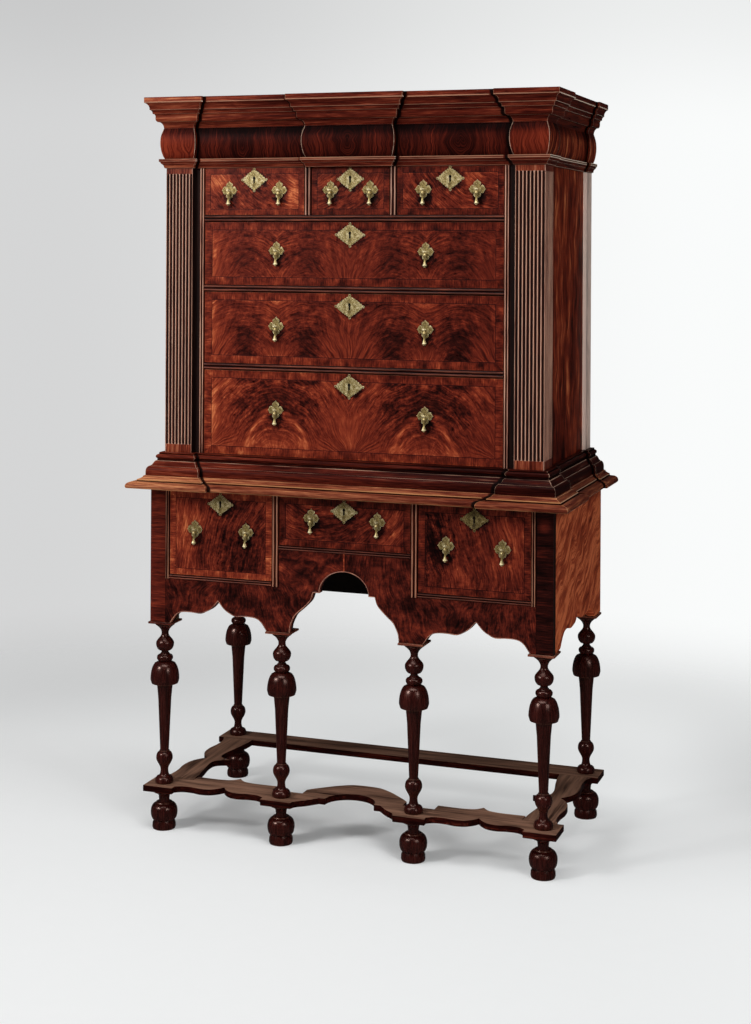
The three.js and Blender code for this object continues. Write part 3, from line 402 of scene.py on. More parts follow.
def plain_wood(name, tones, level=0.5, contrast=1.0, roughness=0.32, dust=0.0, edges=1.0, worn=WORN_AND_LIT,
               place=None,
               shaded_front=False, left=0.0, right=0.0, glint=0.0, polish=POLISH):
    """Solid wood with worn edges that carry a painted highlight, dark quirks of dirt and painted
    shade, and a painted glint on right-facing arrises; level moves its tone, and left and right
    paint light on its left end and shade towards its right.
    """
    recipe = Recipe(name)
    along, across, depth = place(recipe) if place else recipe.grain()
    fine, streak, broad = wood_lines(recipe, along, across, depth)
    tone = (fine * 0.34 + streak * 0.32 + broad * 0.2) * contrast + level
    # Painted light on the left end, painted shade towards the right, as light falls from the left
    if left or right:
        x = recipe.place()[0]
        tone = tone + x.fade(-100, -500) * left - x.fade(-50, 330) * right
    colour = recipe.ramp(tone, tones)
    wear_and_shade = recipe.wear_and_shade()
    # Worn edges with a painted highlight: raised wear brightens the arrises
    worn_and_lit = (wear_and_shade + streak * 0.35 + broad * 0.25).fade(0.2, 1.0) * (0.62 * edges)
    colour = recipe.mix(worn_and_lit.least(1), colour, worn)
    if glint:
        on_right = recipe.facing()[0].fade(0.3, 0.8) * wear_and_shade.fade(0.3, 0.9) * glint
        colour = recipe.mix(on_right.least(1), colour, GLINT)
    # Painted shade with dirt: quirks and re-entrant corners (wear below 0) are darkened towards
    # black
    grime_and_shade = (wear_and_shade * -1 + streak * 0.15).fade(0.05, 0.6) * 0.96
    colour = recipe.mix(grime_and_shade, colour, DIRT_AND_SHADE)
    rough = fine * 0.05 + streak * 0.05 + grime_and_shade * 0.3 + worn_and_lit * 0.12 + roughness
    # Dust with a painted sheen of overhead light on faces that look up
    if dust:
        dust_and_sheen_amount = broad * 0.4 + streak * 0.5 + fine * 0.2 + dust
        upward = recipe.facing()[2].fade(0.75, 0.98) * dust_and_sheen_amount
        colour = recipe.mix(upward.most(0).least(1), colour, DUST_AND_SHEEN)
        rough = rough + upward * 0.3
    # Painted shade: faces turned to the front, the back boards' inner faces, are darkened nearly to
    # black
    if shaded_front:
        colour = recipe.mix((recipe.facing()[1] * -1).fade(0.3, 0.7) * 0.97, colour, DIRT_AND_SHADE)
    recipe.bump(fine + streak * 0.5)
    return recipe.finish(colour, rough, **polish)


def object_axis(order):
    """Coordinates for a solid that stays as packed, with the grain along the first of the axes."""
    def place(recipe):
        axes = dict(zip("xyz", recipe.place()))
        return [axes[axis] for axis in order]
    return place


def banding(x, z, box):
    """A crossbanded border: distance from the edge, across and along its grain, and its turn."""
    left, right, bottom, top = box
    from_side = (x - left).least((x * -1) + right)
    from_level = (z - bottom).least((z * -1) + top)
    distance = from_side.least(from_level)
    level_band = (from_side - from_level).above(0)
    across_band = z.blend(x, level_band)
    along_band = x.blend(z, level_band)
    return distance, across_band, along_band, level_band


def spot(u, z, ragged, centre, size, amount):
    """A soft patch that is darker or lighter than the wood round it."""
    distance = (((u - centre[0]) / size[0]).squared()
                + ((z - centre[1]) / size[1]).squared()).root()
    return (distance + ragged * 0.35).fade(1.15, 0.1) * amount


def streak(u, z, ragged, start, end, width, amount):
    """A soft line from start to end that is darker or lighter than the wood round it."""
    length = math.hypot(end[0] - start[0], end[1] - start[1])
    run = ((end[0] - start[0]) / length, (end[1] - start[1]) / length)
    along = (u - start[0]) * run[0] + (z - start[1]) * run[1]
    beside = (z - start[1]) * run[0] - (u - start[0]) * run[1]
    ends = along.fade(-width, width) * along.fade(length + width, length - width)
    return (abs(beside) + ragged * (width * 0.7)).fade(width, width * 0.1) * ends * amount


def fan(recipe, u, z, tone, centre, reach, level, strength, seed):
    """Bright rays of a crotch that spread from a point, laid over the tone."""
    across, up = u - centre[0], z - centre[1]
    turn = across.apply("ARCTAN2", up)
    radius = (across.squared() + up.squared()).root()
    rays = recipe.noise((turn * 18, radius * 0.01, seed), 3, 0.72)
    return tone.blend(rays * 0.42 + level, radius.fade(reach, reach * 0.25) * strength)


def veneered_front(name, box, width, figure, fittings):
    """A drawer front: a figured field in a crossbanded border, with a thin line between."""
    recipe = Recipe(name)
    x, _, z = recipe.place()
    left, right, bottom, _ = box
    middle = (left + right) / 2
    seed = figure["seed"]
    sway_x = recipe.noise((x * 0.013 + seed, z * 0.013, seed), 2) * 7
    sway_z = recipe.noise((x * 0.013, z * 0.013 + seed, seed + 3), 2) * 7
    plain_x, plain_z = x - middle, z - bottom
    u, height = plain_x + sway_x, plain_z + sway_z
    if "fold" in figure:
        u = abs(abs(u) - figure["fold"])
    centre, ratio = figure["centre"], figure["ratio"]
    ring = ((u - centre[0]).squared() + ((height - centre[1]) * ratio).squared()).root()
    hair = recipe.noise((ring * 0.3, u * 0.03, height * 0.03 + seed), 3, 0.72)
    band = recipe.noise((ring * 0.09, u * 0.014, height * 0.014 + seed), 3, 0.66)
    curl = recipe.noise((ring * 0.03, u * 0.03, height * 0.03 + seed), 4, 0.62, 0.6)
    ragged = recipe.noise((x * 0.08, z * 0.08, seed), 4, 0.76)
    tone = hair * 0.28 + band * 0.2 + curl * 0.14 + ragged * 0.22 + figure["level"]
    for centre, reach, level, strength in figure.get("fans", ()):
        tone = fan(recipe, u, height, tone, centre, reach, level, strength, seed)
    for centre, size, amount in figure["spots"]:
        tone = tone + spot(u, height, ragged + band * 0.4, centre, size, amount)
    for start, end, thickness, amount in figure.get("streaks", ()):
        tone = tone + streak(u, height, ragged + hair * 0.5, start, end, thickness, amount)
    for centre, size, amount in figure.get("marks", ()):
        tone = tone + spot(plain_x, plain_z, ragged, centre, size, amount)

    distance, across_band, along_band, level_band = banding(x, z, box)
    band_fine = recipe.noise((across_band * 0.4, along_band * 0.04, seed), 3, 0.66)
    band_wide = recipe.noise((across_band * 0.035, along_band * 0.03, level_band * 9 + seed), 3)
    band_tone = band_fine * 0.24 + band_wide * 0.3 + ragged * 0.1 + figure["band"]
    in_field = (distance - width).above(0)
    tone = band_tone.blend(tone, in_field)
    # Painted light: the slope makes a front darker towards the right, as light falls from the left
    tone = tone + plain_x * (figure.get("slope", 0) / (right - left))
    for place, size in fittings:
        tone = tone + spot(x, z, ragged, place, size, -0.5)
    seam = abs(distance - width).fade(1.1, 0.2)
    inlay = abs(distance - (width + 1.9)).fade(0.9, 0.3)
    rim = distance.fade(2.6, 0.8)
    tone = tone - seam * 0.36 + inlay * 0.08 + rim * 0.1
    colour = recipe.ramp(tone, VENEER_TONES)
    rough = hair * 0.05 + ragged * 0.06 + seam * 0.2 + 0.32
    recipe.bump(hair * 0.6 + band * 0.4 - seam * 2 + ragged * 0.8)
    return recipe.finish(colour, rough, **POLISH)


def frieze_veneer():
    """Cushion of the frieze: dark veneer in upright leaves with oval figure."""
    recipe = Recipe("frieze_veneer")
    x, y, z = recipe.place()
    sway = recipe.noise((x * 0.012, y * 0.012, z * 0.02), 2) * 10
    leaf = abs(x.apply("WRAP", 136.0, -136.0)) + sway
    ring = (leaf.squared() + ((z - (FRIEZE_BOTTOM + 60)) * 0.55).squared()).root()
    on_side = abs(recipe.facing()[0]).fade(0.4, 0.6)
    lines = ring.blend(y + sway, on_side)
    hair = recipe.noise((lines * 0.5, z * 0.012, y * 0.01), 3, 0.66)
    band = recipe.noise((lines * 0.1, z * 0.01, y * 0.004 + 4), 3)
    block = abs(x).fade(UPPER_WIDTH / 2 - PILASTER_WIDTH - 14, UPPER_WIDTH / 2 - PILASTER_WIDTH - 4)
    joint = abs(leaf - 68).fade(1.5, 0.4) * (block * -1 + 1)
    shaded = z.fade(CORNICE_BOTTOM - 30, CORNICE_BOTTOM - 4)
    tone = hair * 0.24 + band * 0.14 + block * 0.24 + joint * 0.16 - shaded * 0.28 + 0.25
    # Painted light: the left end and the side faces are made lighter
    tone = tone + x.fade(-300, -460) * 0.06 + on_side * (band * 0.4 + 0.16)
    colour = recipe.ramp(tone, VENEER_TONES)
    wear_and_shade = recipe.wear_and_shade()
    # Worn edges with a painted highlight: the pale arcs at the breaks
    colour = recipe.mix((wear_and_shade + hair * 0.2).fade(0.25, 0.75) * 0.95, colour, (0.62, 0.4, 0.29))
    # Painted shade with dirt in the re-entrant corners
    colour = recipe.mix((wear_and_shade * -1).fade(0.1, 0.8) * 0.9, colour, DIRT_AND_SHADE)
    recipe.bump(hair + band * 0.5)
    return recipe.finish(colour, hair * 0.05 + 0.42, **MATT)


def apron_veneer():
    """Lower front: upright figured veneer, with dark cross grain on the corner stiles."""
    recipe = Recipe("apron_veneer")
    x, y, z = recipe.place()
    sway_x = recipe.noise((x * 0.01, z * 0.01, 2), 2) * 16
    lean = abs(x.apply("WRAP", 165.0, -165.0))
    lines = x + sway_x + (z - LOWER_BOTTOM) * ((lean - 80) * 0.006)
    hair = recipe.noise((lines * 0.3, z * 0.03, 3), 3, 0.74)
    mottle = recipe.noise((x * 0.08, z * 0.08, 1), 4, 0.76)
    streak = recipe.noise((lines * 0.09, z * 0.014, 7), 3, 0.64)
    cloud = recipe.noise((x * 0.016, z * 0.02, 5), 3, 0.6)
    field = hair * 0.26 + streak * 0.15 + cloud * 0.3 + mottle * 0.2 + 0.35
    cross_hair = recipe.noise((z * 0.35, x * 0.02, 9), 3, 0.66)
    cross_wide = recipe.noise((z * 0.05, x * 0.008, 4), 3, 0.6)
    knot = spot(x, z, cross_hair, (OUTER_OUTER + 30, WAIST_BOTTOM - 34), (20, 20), 0.3)
    stile = cross_hair * 0.26 + cross_wide * 0.2 + (x * -0.00032) + knot + 0.32
    tone = field.blend(stile, abs(x).above(OUTER_OUTER + LOWER_EDGE_BEAD))
    seams = abs(abs(x) - (OUTER_OUTER + LOWER_EDGE_BEAD)).fade(1.1, 0.3)
    joint = abs(x).fade(2.6, 0.8) * z.fade(WAIST_BOTTOM - 190, WAIST_BOTTOM - 160)
    tone = tone - seams * 0.2 + joint * 0.45
    # Painted shade: the board's edges and faces behind its front are darkened nearly to black
    inside = (y - (LOWER_FRONT + 3)).above(0)
    colour = recipe.ramp(tone, VENEER_TONES)
    colour = recipe.mix(inside * 0.85, colour, (0.02, 0.01, 0.006))
    recipe.bump(hair + streak * 0.5 - seams * 2)
    return recipe.finish(colour, hair * 0.05 + cloud * 0.03 + inside * 0.3 + 0.34, **POLISH)


def side_veneer(name, tones, level, lean, strip):
    """Side boards: broad veneer, upright or leaning, with soft clouds, painted shade on the left
    boards and beside the pilaster blocks, and a painted highlight that makes the rear strip paler.
    """
    recipe = Recipe(name)
    x, y, z = recipe.place()
    sway = recipe.noise((y * 0.008, z * 0.006, 1), 2) * 22
    turn = math.radians(lean)
    lines = y * math.cos(turn) - z * math.sin(turn) + sway
    along = z * math.cos(turn) + y * math.sin(turn)
    hair = recipe.noise((lines * 0.3, along * 0.014, x * 0.01), 3, 0.68)
    band = recipe.noise((lines * 0.075, along * 0.01, x * 0.01), 3, 0.72)
    broad = recipe.noise((lines * 0.022, along * 0.003, x * 0.01), 3, 0.6)
    cloud = recipe.noise((y * 0.012, z * 0.01, x * 0.01 + 3), 3, 0.6)
    # Painted shade: boards on the left side are darker
    tone = hair * 0.18 + band * 0.4 + broad * 0.26 + cloud * 0.16 - (x * -1).above(0) * 0.12 + level
    if strip:
        # Painted shade on the side next to the pilaster block
        tone = tone - y.fade(SIDE_BLOCK_BACK + 70, SIDE_BLOCK_BACK + 6) * 0.34
    colour = recipe.ramp(tone, tones)
    if strip:
        # Painted highlight: the rear strip and its front edge are paler
        at_rear = (y - (REAR_STRIP_FRONT - 1)).above(0)
        pale = at_rear * (hair * 0.2 + band * 0.25 + y.fade(REAR_STRIP_FRONT, BACK) * 0.35 + 0.55)
        edge = abs(y - (REAR_STRIP_FRONT + 1)).fade(3, 1)
        colour = recipe.mix((pale + edge).least(1), colour, STRIP_HIGHLIGHT)
    recipe.bump(hair + band * 0.6)
    return recipe.finish(colour, hair * 0.05 + cloud * 0.03 + 0.42, Specular_IOR_Level=0.015)


def brass(name, engraved, level):
    """Old lacquered brass. Plates carry engraved scrolls, with dirt in the cuts."""
    recipe = Recipe(name)
    x, y, z = recipe.grain()
    patina = recipe.noise((x * 0.16, z * 0.16, y * 0.16), 4, 0.6)
    speck = recipe.noise((x * 0.7, z * 0.7, y), 3, 0.6)
    tone = patina * 0.24 + speck * 0.3 + level
    rough = patina * 0.06 + speck * 0.05 + 0.4
    relief = patina * 0.1 + speck * 0.3
    if engraved:
        bend = recipe.noise((x * 0.1, z * 0.1, 5), 2) * 1.6
        radius = (x.squared() + z.squared()).root()
        turn = z.apply("ARCTAN2", x)
        scroll = ((turn * 4).apply("SINE") * 2.6 + radius * 0.95 + bend).apply("SINE")
        stem = ((turn * 8) + radius * 0.5 + bend).apply("SINE")
        cut = abs(scroll).fade(0.5, 0.1).most(abs(stem).fade(0.3, 0.05) * 0.7)
        lobe = ((abs(x).most(abs(z)) - 12.5).squared() + abs(x).least(abs(z)).squared()).root()
        tone = tone - cut * 0.42 - lobe.fade(5.5, 3) * 0.14
        relief = relief - cut * 2.2
        rough = rough + cut * 0.15
    # Wear: rims brighter where worn and with a painted highlight, plate feet and holes darker with
    # painted shade
    tone = tone + recipe.wear_and_shade() * 0.42
    colour = recipe.ramp(tone, [(0.0, (0.02, 0.012, 0.004)), (0.35, (0.13, 0.084, 0.026)),
                                (0.65, (0.44, 0.32, 0.1)), (1.0, (0.98, 0.88, 0.58))])
    recipe.bump(relief, 0.1)
    return recipe.finish(colour, rough, Metallic=0.6, Specular_IOR_Level=0.5)


# A near-black sheet behind the keyhole: painted shade inside the hole
def keyhole_shade():
    recipe = Recipe("keyhole_shade")
    x, y, z = recipe.place()
    dust = recipe.noise((x * 0.6, y * 0.6, z * 0.6), 3)
    colour = recipe.ramp(dust * 0.3 + 0.4,
                         [(0.0, (0.002, 0.0015, 0.001)), (1.0, (0.012, 0.008, 0.006))])
    return recipe.finish(colour, dust * 0.1 + 0.8, Specular_IOR_Level=0.1)


materials = {
    "cornice": plain_wood("cornice_walnut", WALNUT_TONES, 0.43, 0.68, edges=1.7, left=0.24,
                          glint=0.8, polish=MATT),
    "base": plain_wood("base_walnut", WALNUT_TONES, 0.37, 0.62, edges=2, worn=BASE_WORN_AND_LIT, left=0.12,
                       right=0.2, glint=0.8, polish=MATT),
    "waist": plain_wood("waist_walnut", WAIST_TONES, 0.58, 0.7, edges=1.5, worn=TAN, left=0.24,
                        right=0.02, glint=0.5, polish=MATT),
    "frieze": frieze_veneer(),
    "pilaster": plain_wood("pilaster_walnut", WALNUT_TONES, 0.61, 0.8, edges=1.6, worn=PALE),
    "beads": plain_wood("bead_walnut", WALNUT_TONES, 0.5, 0.8, edges=1.5, worn=PALE),
    "low_beads": plain_wood("low_bead_walnut", WALNUT_TONES, 0.56, 0.8, edges=1.3, worn=LOW_WORN_AND_LIT),
    "rails": plain_wood("rail_walnut", WALNUT_TONES, 0.38, 0.8, edges=0.4, left=0.1),
    "apron": apron_veneer(),
    "apron_bead": plain_wood("apron_bead_walnut", WALNUT_TONES, 0.6, 0.8, worn=PALE),
    "upper_side": side_veneer("upper_side_veneer", VENEER_TONES, 0.6, 0, True),
    "lower_side": side_veneer("lower_side_veneer", SIDE_TONES, 0.83, 62, False),
    "turned": plain_wood("turned_walnut", TURNED_TONES, 0.47, 0.4, roughness=0.26, edges=0.5,
                         polish=GLOSSY),
    "cap": plain_wood("cap_walnut", WALNUT_TONES, 0.5, 0.8, dust=0.3),
    "stretcher": plain_wood("stretcher_walnut", WALNUT_TONES, 0.1, 0.8, dust=0.64, edges=0.7,
                            polish=MATT),
    "inside": plain_wood("drawer_lining", INSIDE_TONES, 0.45, 0.8, roughness=0.6),
    "inside_x": plain_wood("dust_board", INSIDE_TONES, 0.2, 0.6, roughness=0.65,
                           place=object_axis("xyz")),
    "back": plain_wood("back_board", INSIDE_TONES, 0.3, 0.7, roughness=0.7,
                       place=object_axis("xzy"), shaded_front=True),
    "plate": brass("engraved_brass", True, 0.56),
    "plate_dark": brass("dark_engraved_brass", True, 0.36),
    "drop": brass("drop_brass", False, 0.72),
    "keyhole": keyhole_shade(),
}
# Slot names by a piece's first finish, all others veneer; build() reads this table but sets no slot
SLOTS = {
    "carcase_walnut": ("waist", "base", "cornice", "pilaster", "rails", "beads", "low_beads",
                       "stretcher"),
    "secondary_wood": ("inside",),
    "turned_walnut": ("turned", "cap"),
    "brass": ("plate", "plate_dark", "drop"),
}


# ---- Forms


class Form:
    """Points and faces in millimetres, each point's wear with a painted highlight (above 0) or dirt
    with painted shade (below 0), and the way each face's grain runs.
    """

    def __init__(self):
        self.points, self.wear_and_shade, self.faces, self.axes, self.finishes = [], [], [], [], []

    def add(self, points, faces, axis="x", wear_and_shade=None, finish=0):
        start = len(self.points)
        self.points += points
        self.wear_and_shade += wear_and_shade or [0] * len(points)
        for place, face in enumerate(faces):
            self.faces.append([corner + start for corner in face])
            self.axes.append(axis if isinstance(axis, str) else axis[place])
            self.finishes.append(finish if isinstance(finish, int) else finish[place])
        return self

    def join(self, other):
        return self.add(other.points, other.faces, other.axes, other.wear_and_shade, other.finishes)


GRAIN_ORDERS = {"x": (0, 1, 2), "y": (1, 0, 2), "z": (2, 0, 1)}
GRAIN_STEP = Vector((-137.0, 71.0, 0))  # moves the figure on from one piece to the next
made_count = 0


def build(name, form, finishes, node=None, body="case", slot=None, bevel=0.0, smooth=32,
          centre=None, outward=False):
    """Makes a piece of a form: mesh, finishes, grain, softened edges, and what it rides on."""
    global made_count
    made_count += 1
    finishes = finishes.split()
    mesh = bpy.data.meshes.new(name)
    mesh.from_pydata([at(*point) for point in form.points], [], form.faces)
    grain = mesh.attributes.new("grain", "FLOAT_VECTOR", "CORNER")
    origin = Vector(centre) if centre else GRAIN_STEP * made_count
    for polygon, axis in zip(mesh.polygons, form.axes):
        order = GRAIN_ORDERS["x" if centre else axis]
        for loop in polygon.loop_indices:
            point = Vector(form.points[mesh.loops[loop].vertex_index]) - origin
            grain.data[loop].vector = [point[index] * MM for index in order]
    wear_and_shade = mesh.attributes.new("wear_and_shade", "FLOAT", "POINT")
    wear_and_shade.data.foreach_set("value", form.wear_and_shade)
    for finish in finishes:
        mesh.materials.append(materials[finish])
    mesh.polygons.foreach_set("material_index", form.finishes)
    mesh.polygons.foreach_set("use_smooth", [True] * len(mesh.polygons))
    mesh.set_sharp_from_angle(angle=math.radians(smooth))
    mesh.validate()
    piece = bpy.data.objects.new(name, mesh)
    bpy.context.scene.collection.objects.link(piece)
    if bevel:
        soften(piece, bevel)
    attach(piece, body)
    own = [kind for kind, members in SLOTS.items() if finishes[0] in members]
    slot or (own or ["walnut_veneer"])[0]
    if node:
        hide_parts(node)
    if outward:
        turn_outward(mesh)


def turn_outward(mesh):
    """Turns the faces of a closed mesh outward."""
    work = bmesh.new()
    work.from_mesh(mesh)
    bmesh.ops.recalc_face_normals(work, faces=work.faces)
    work.to_mesh(mesh)
    work.free()


def soften(piece, width, segments=2):
    modifier = piece.modifiers.new("softened_edges", "BEVEL")
    modifier.width = width * MM
    modifier.segments = segments
    modifier.limit_method = "ANGLE"
    modifier.angle_limit = math.radians(38)
    modifier.harden_normals = True


def box_form(x, y, z, axis="x", wear_and_shade=0.0):
    points = [(a, b, c) for c in z for b in y for a in x]
    faces = [(0, 2, 3, 1), (4, 5, 7, 6), (0, 1, 5, 4), (2, 6, 7, 3), (0, 4, 6, 2), (1, 3, 7, 5)]
    return Form().add(points, faces, axis, [wear_and_shade] * 8)


def area(outline):
    return sum(a[0] * b[1] - b[0] * a[1] for a, b in zip(outline, outline[1:] + outline[:1])) / 2


def prism(outline, start, end, along, axis="x", wear_and_shade=None):
    """An outline made solid along one axis, closed at both ends."""
    return stacked([(outline, start), (outline, end)], along, axis, [wear_and_shade, wear_and_shade] if wear_and_shade else None)


def ring_faces(rings, count, start=0, stride=None):
    """Faces between closed rings of points that follow each other."""
    stride = stride or count
    faces = []
    for ring in range(rings - 1):
        for corner in range(count):
            a, b = (start + ring * stride + place for place in (corner, (corner + 1) % count))
            faces.append((a, b, b + stride, a + stride))
    return faces


def stacked(rings, along, axis="x", wear_and_shade=None):
    """Rings of equal length at levels along an axis, joined by faces and closed at both ends."""
    place = {"x": lambda a, b, c: (c, a, b), "y": lambda a, b, c: (a, c, b),
             "z": lambda a, b, c: (a, b, c)}[along]
    count = len(rings[0][0])
    points = [place(a, b, level) for outline, level in rings for a, b in outline]
    last = (len(rings) - 1) * count
    faces = ring_faces(len(rings), count)
    faces += [tuple(range(count))[::-1], tuple(range(last, last + count))]
    if (area(rings[0][0]) > 0) == (along == "y"):
        faces = [face[::-1] for face in faces]
    return Form().add(points, faces, axis,
                      [value for ring in wear_and_shade for value in ring] if wear_and_shade else None)


def curve_through(pairs, steps):
    """The smooth curve through points that the solids use, at more steps."""
    count = len(pairs)
    result = []
    for step in range(steps + 1):
        spot_on = (count - 1) * step / steps
        index = min(int(spot_on), count - 2)
        t = spot_on - index
        near = [pairs[max(index - 1, 0)], pairs[index], pairs[index + 1],
                pairs[min(index + 2, count - 1)]]
        point = []
        for p0, p1, p2, p3 in zip(*near):
            v0, v1 = (p2 - p0) / 2, (p3 - p1) / 2
            point.append((2 * (p1 - p2) + v0 + v1) * t ** 3
                         + (3 * (p2 - p1) - 2 * v0 - v1) * t ** 2 + v0 * t + p1)
        result.append(tuple(point))
    return result


def scallop(start, end, shares, rise, steps=CURVE_STEPS):
    middle = (start + end) / 2
    half = curve_through([(start + run * (middle - start), up * rise) for run, up in shares], steps)
    return half + [(2 * middle - across, up) for across, up in reversed(half[:-1])]


def mirrored(half):
    return half + [(-across, up) for across, up in reversed(half) if across != 0]


def arch_head(half_span, rise, steps=20):
    points = []
    for step in range(steps + 1):
        turn = math.pi / 2 * step / steps
        points.append((0 if step == steps else half_span * math.cos(turn), rise * math.sin(turn)))
    return points


def refined(profile, support=0.7, sharp=25):
    """Adds points beside the corners of a profile and says where it is worn, with a painted
    highlight, and where dirt and painted shade lie.
    """
    result = []
    for index, point in enumerate(profile):
        before, after = profile[max(index - 1, 0)], profile[min(index + 1, len(profile) - 1)]
        inward = (point[0] - before[0], point[1] - before[1])
        outward = (after[0] - point[0], after[1] - point[1])
        length_in, length_out = math.hypot(*inward), math.hypot(*outward)
        if not length_in or not length_out:
            result.append((*point, 0))
            continue
        cross = (inward[0] * outward[1] - inward[1] * outward[0]) / (length_in * length_out)
        dot = (inward[0] * outward[0] + inward[1] * outward[1]) / (length_in * length_out)
        turn = math.degrees(math.atan2(cross, dot))
        if abs(turn) < sharp:
            result.append((*point, 0))
            continue
        worn = max(-1, min(1, turn / 60))
        reaches = ((support * 1.5, 0.48, 0), (support, 0.3, worn * 0.8))
        for reach, share, wear_and_shade in reaches:
            step = min(reach, length_in * share)
            result.append((point[0] - inward[0] / length_in * step,
                           point[1] - inward[1] / length_in * step, wear_and_shade))
        result.append((*point, worn))
        for reach, share, wear_and_shade in reaches[::-1]:
            step = min(reach, length_out * share)
            result.append((point[0] + outward[0] / length_out * step,
                           point[1] + outward[1] / length_out * step, wear_and_shade))
    return result


def profile_of(runs, projection, bottom, height, steps=8):
    """A moulding's profile in millimetres from its runs."""
    shares = []
    for run in runs:
        run = shares[-1:] + run
        curve = run if len(run) == 2 else curve_through(run, steps)
        shares += curve[1 if shares else 0:]
    return [(out * projection, bottom + up * height) for out, up in shares]


def double_bead(width, steps=10):
    """Two round beads side by side: place along, how far out, and the wear, a painted highlight on
    the crowns and painted shade with dirt in the quirks.
    """
    points = []
    for middle in (width / 4, 3 * width / 4):
        for step in range(steps + 1):
            turn = math.pi * step / steps
            radius = width / 4 - BEAD_QUIRK
            points.append((middle - math.cos(turn) * radius, math.sin(turn) * BEAD_PROJECTION,
                           1.9 * math.sin(turn) ** 3 - 1))
    return points


def beaded_strip(low, width, front, rear, start, end, along):
    """A strip with a double bead on its front, upright or level, from start to end."""
    profile = [(low, rear, 0), (low, front, -0.6)]
    profile += [(low + across, front - out, wear_and_shade) for across, out, wear_and_shade in double_bead(width)]
    profile += [(low + width, front, -0.6), (low + width, rear, 0)]
    outline = [(y, across) if along == "x" else (across, y) for across, y, _ in profile]
    return prism(outline, start, end, along, along, [wear_and_shade for _, _, wear_and_shade in profile])


def turned_profile(cuts, height, radius):
    start, steps = cuts
    profile = [(0, 0), (start * radius, 0)]
    level, reach = 0, start
    for form, rise, share in steps:
        for step in range(1, TURNING_STEPS[form] + 1):
            done = step / TURNING_STEPS[form]
            out = reach + (share - reach) * TURNING_CURVES[form](done)
            profile.append((out * radius, (level + rise * done) * height))
        level += rise
        reach = share
    profile.append((0, level * height))
    return profile


def lathe(profile, sides, centre, axis="z"):
    """A profile of radius, height and wear (with its painted highlight or shade) turned round an
    upright axis.
    """
    points, wear_and_shade, rings = [], [], []
    for radius, level, worn in profile:
        count = sides if radius > 1e-6 else 1
        rings.append(range(len(points), len(points) + count))
        wear_and_shade += [worn] * count
        for side in range(count):
            turn = 2 * math.pi * side / sides
            points.append((centre[0] + radius * math.cos(turn), centre[1] + radius * math.sin(turn),
                           centre[2] + level))
    faces = []
    for lower, upper in zip(rings, rings[1:]):
        for side in range(sides):
            after = (side + 1) % sides
            corners = [lower[side % len(lower)], lower[after % len(lower)],
                       upper[after % len(upper)], upper[side % len(upper)]]
            unique = tuple(dict.fromkeys(corners))
            if len(unique) > 2:
                faces.append(unique)
    return Form().add(points, faces, axis, wear_and_shade)


# ---- Mouldings


def moulding_plan(out, centre, back=BACK):
    """The plan of a moulding at a distance out from the pilaster faces, as in the solids."""
    side = UPPER_WIDTH / 2
    half = [(side + out, back), (side + out, REAR_STRIP_FRONT - out),
            (side - SIDE_RECESS + out, REAR_STRIP_FRONT - out),
            (side - SIDE_RECESS + out, SIDE_BLOCK_BACK + out),
            (side + out, SIDE_BLOCK_BACK + out), (side + out, UPPER_FRONT - out),
            (side - PILASTER_WIDTH - out, UPPER_FRONT - out),
            (side - PILASTER_WIDTH - out, DRAWER_FRONT - out)]
    if centre:
        half += [(CENTRE_BREAK / 2 + out, DRAWER_FRONT - out),
                 (CENTRE_BREAK / 2 + out, UPPER_FRONT - out)]
    return mirrored(half)[::-1]


def supported(plan):
    """A plan with points beside its corners, and how worn with a painted highlight (1) or dirty and
    in painted shade (-1) each point of it is.
    """
    result = []
    for index, corner in enumerate(plan):
        point = Vector(corner)
        into = point - Vector(plan[index - 1])
        onward = Vector(plan[(index + 1) % len(plan)]) - point
        stands_out = into.cross(onward) > 0
        # Painted shade beside re-entrant corners reaches farther at the breaks on the right
        reach = 15 if point.x > 250 else 9
        steps = ((1.8, 0),) if stands_out else ((reach, 0), (reach * 0.55, -0.8))
        for reach, worn in steps:
            step = min(reach, reach / 15 * 0.48 * into.length)
            result.append((*(point - into.normalized() * step), worn))
        result.append((*point, 0.75 if stands_out else -1))
        for reach, worn in steps[::-1]:
            step = min(reach, reach / 15 * 0.48 * onward.length)
            result.append((*(point + onward.normalized() * step), worn))
    return result


def moulded_form(profile, centre, from_top):
    """Rings of a profile round the plan, with a hollow under or over the board across the frame."""
    points, wear_and_shade = [], []
    (first_out, bottom, _), (last_out, top, _) = profile[0], profile[-1]
    profile = [(first_out - FLAT_RIM, bottom, None), *profile, (last_out - FLAT_RIM, top, None)]
    for out, level, worn in profile:
        back = BACK - FLAT_RIM if worn is None else BACK
        for x, y, edge in supported(moulding_plan(out, centre, back)):
            points.append((x, y, level))
            if worn is None:
                wear_and_shade.append(0)
            else:
                wear_and_shade.append(min(worn, edge) if min(worn, edge) < 0 else max(worn, edge))
    count = len(points) // len(profile)
    faces = ring_faces(len(profile), count)
    runs = [[abs(points[b][part] - points[a][part]) for part in (0, 1)] for a, b, *_ in faces]
    axes = ["y" if along_y > along_x else "x" for along_x, along_y in runs]
    last = (len(profile) - 1) * count
    closed, open_start = (0, last) if from_top else (last, 0)
    cap = tuple(range(closed, closed + count))
    faces.append(cap[::-1] if from_top else cap)
    faces += hollow_of(points, open_start, count, (bottom, top), from_top)
    wear_and_shade += [0] * (len(points) - len(wear_and_shade))
    return Form().add(points, faces, axes + ["x"] * (len(faces) - len(axes)), wear_and_shade)


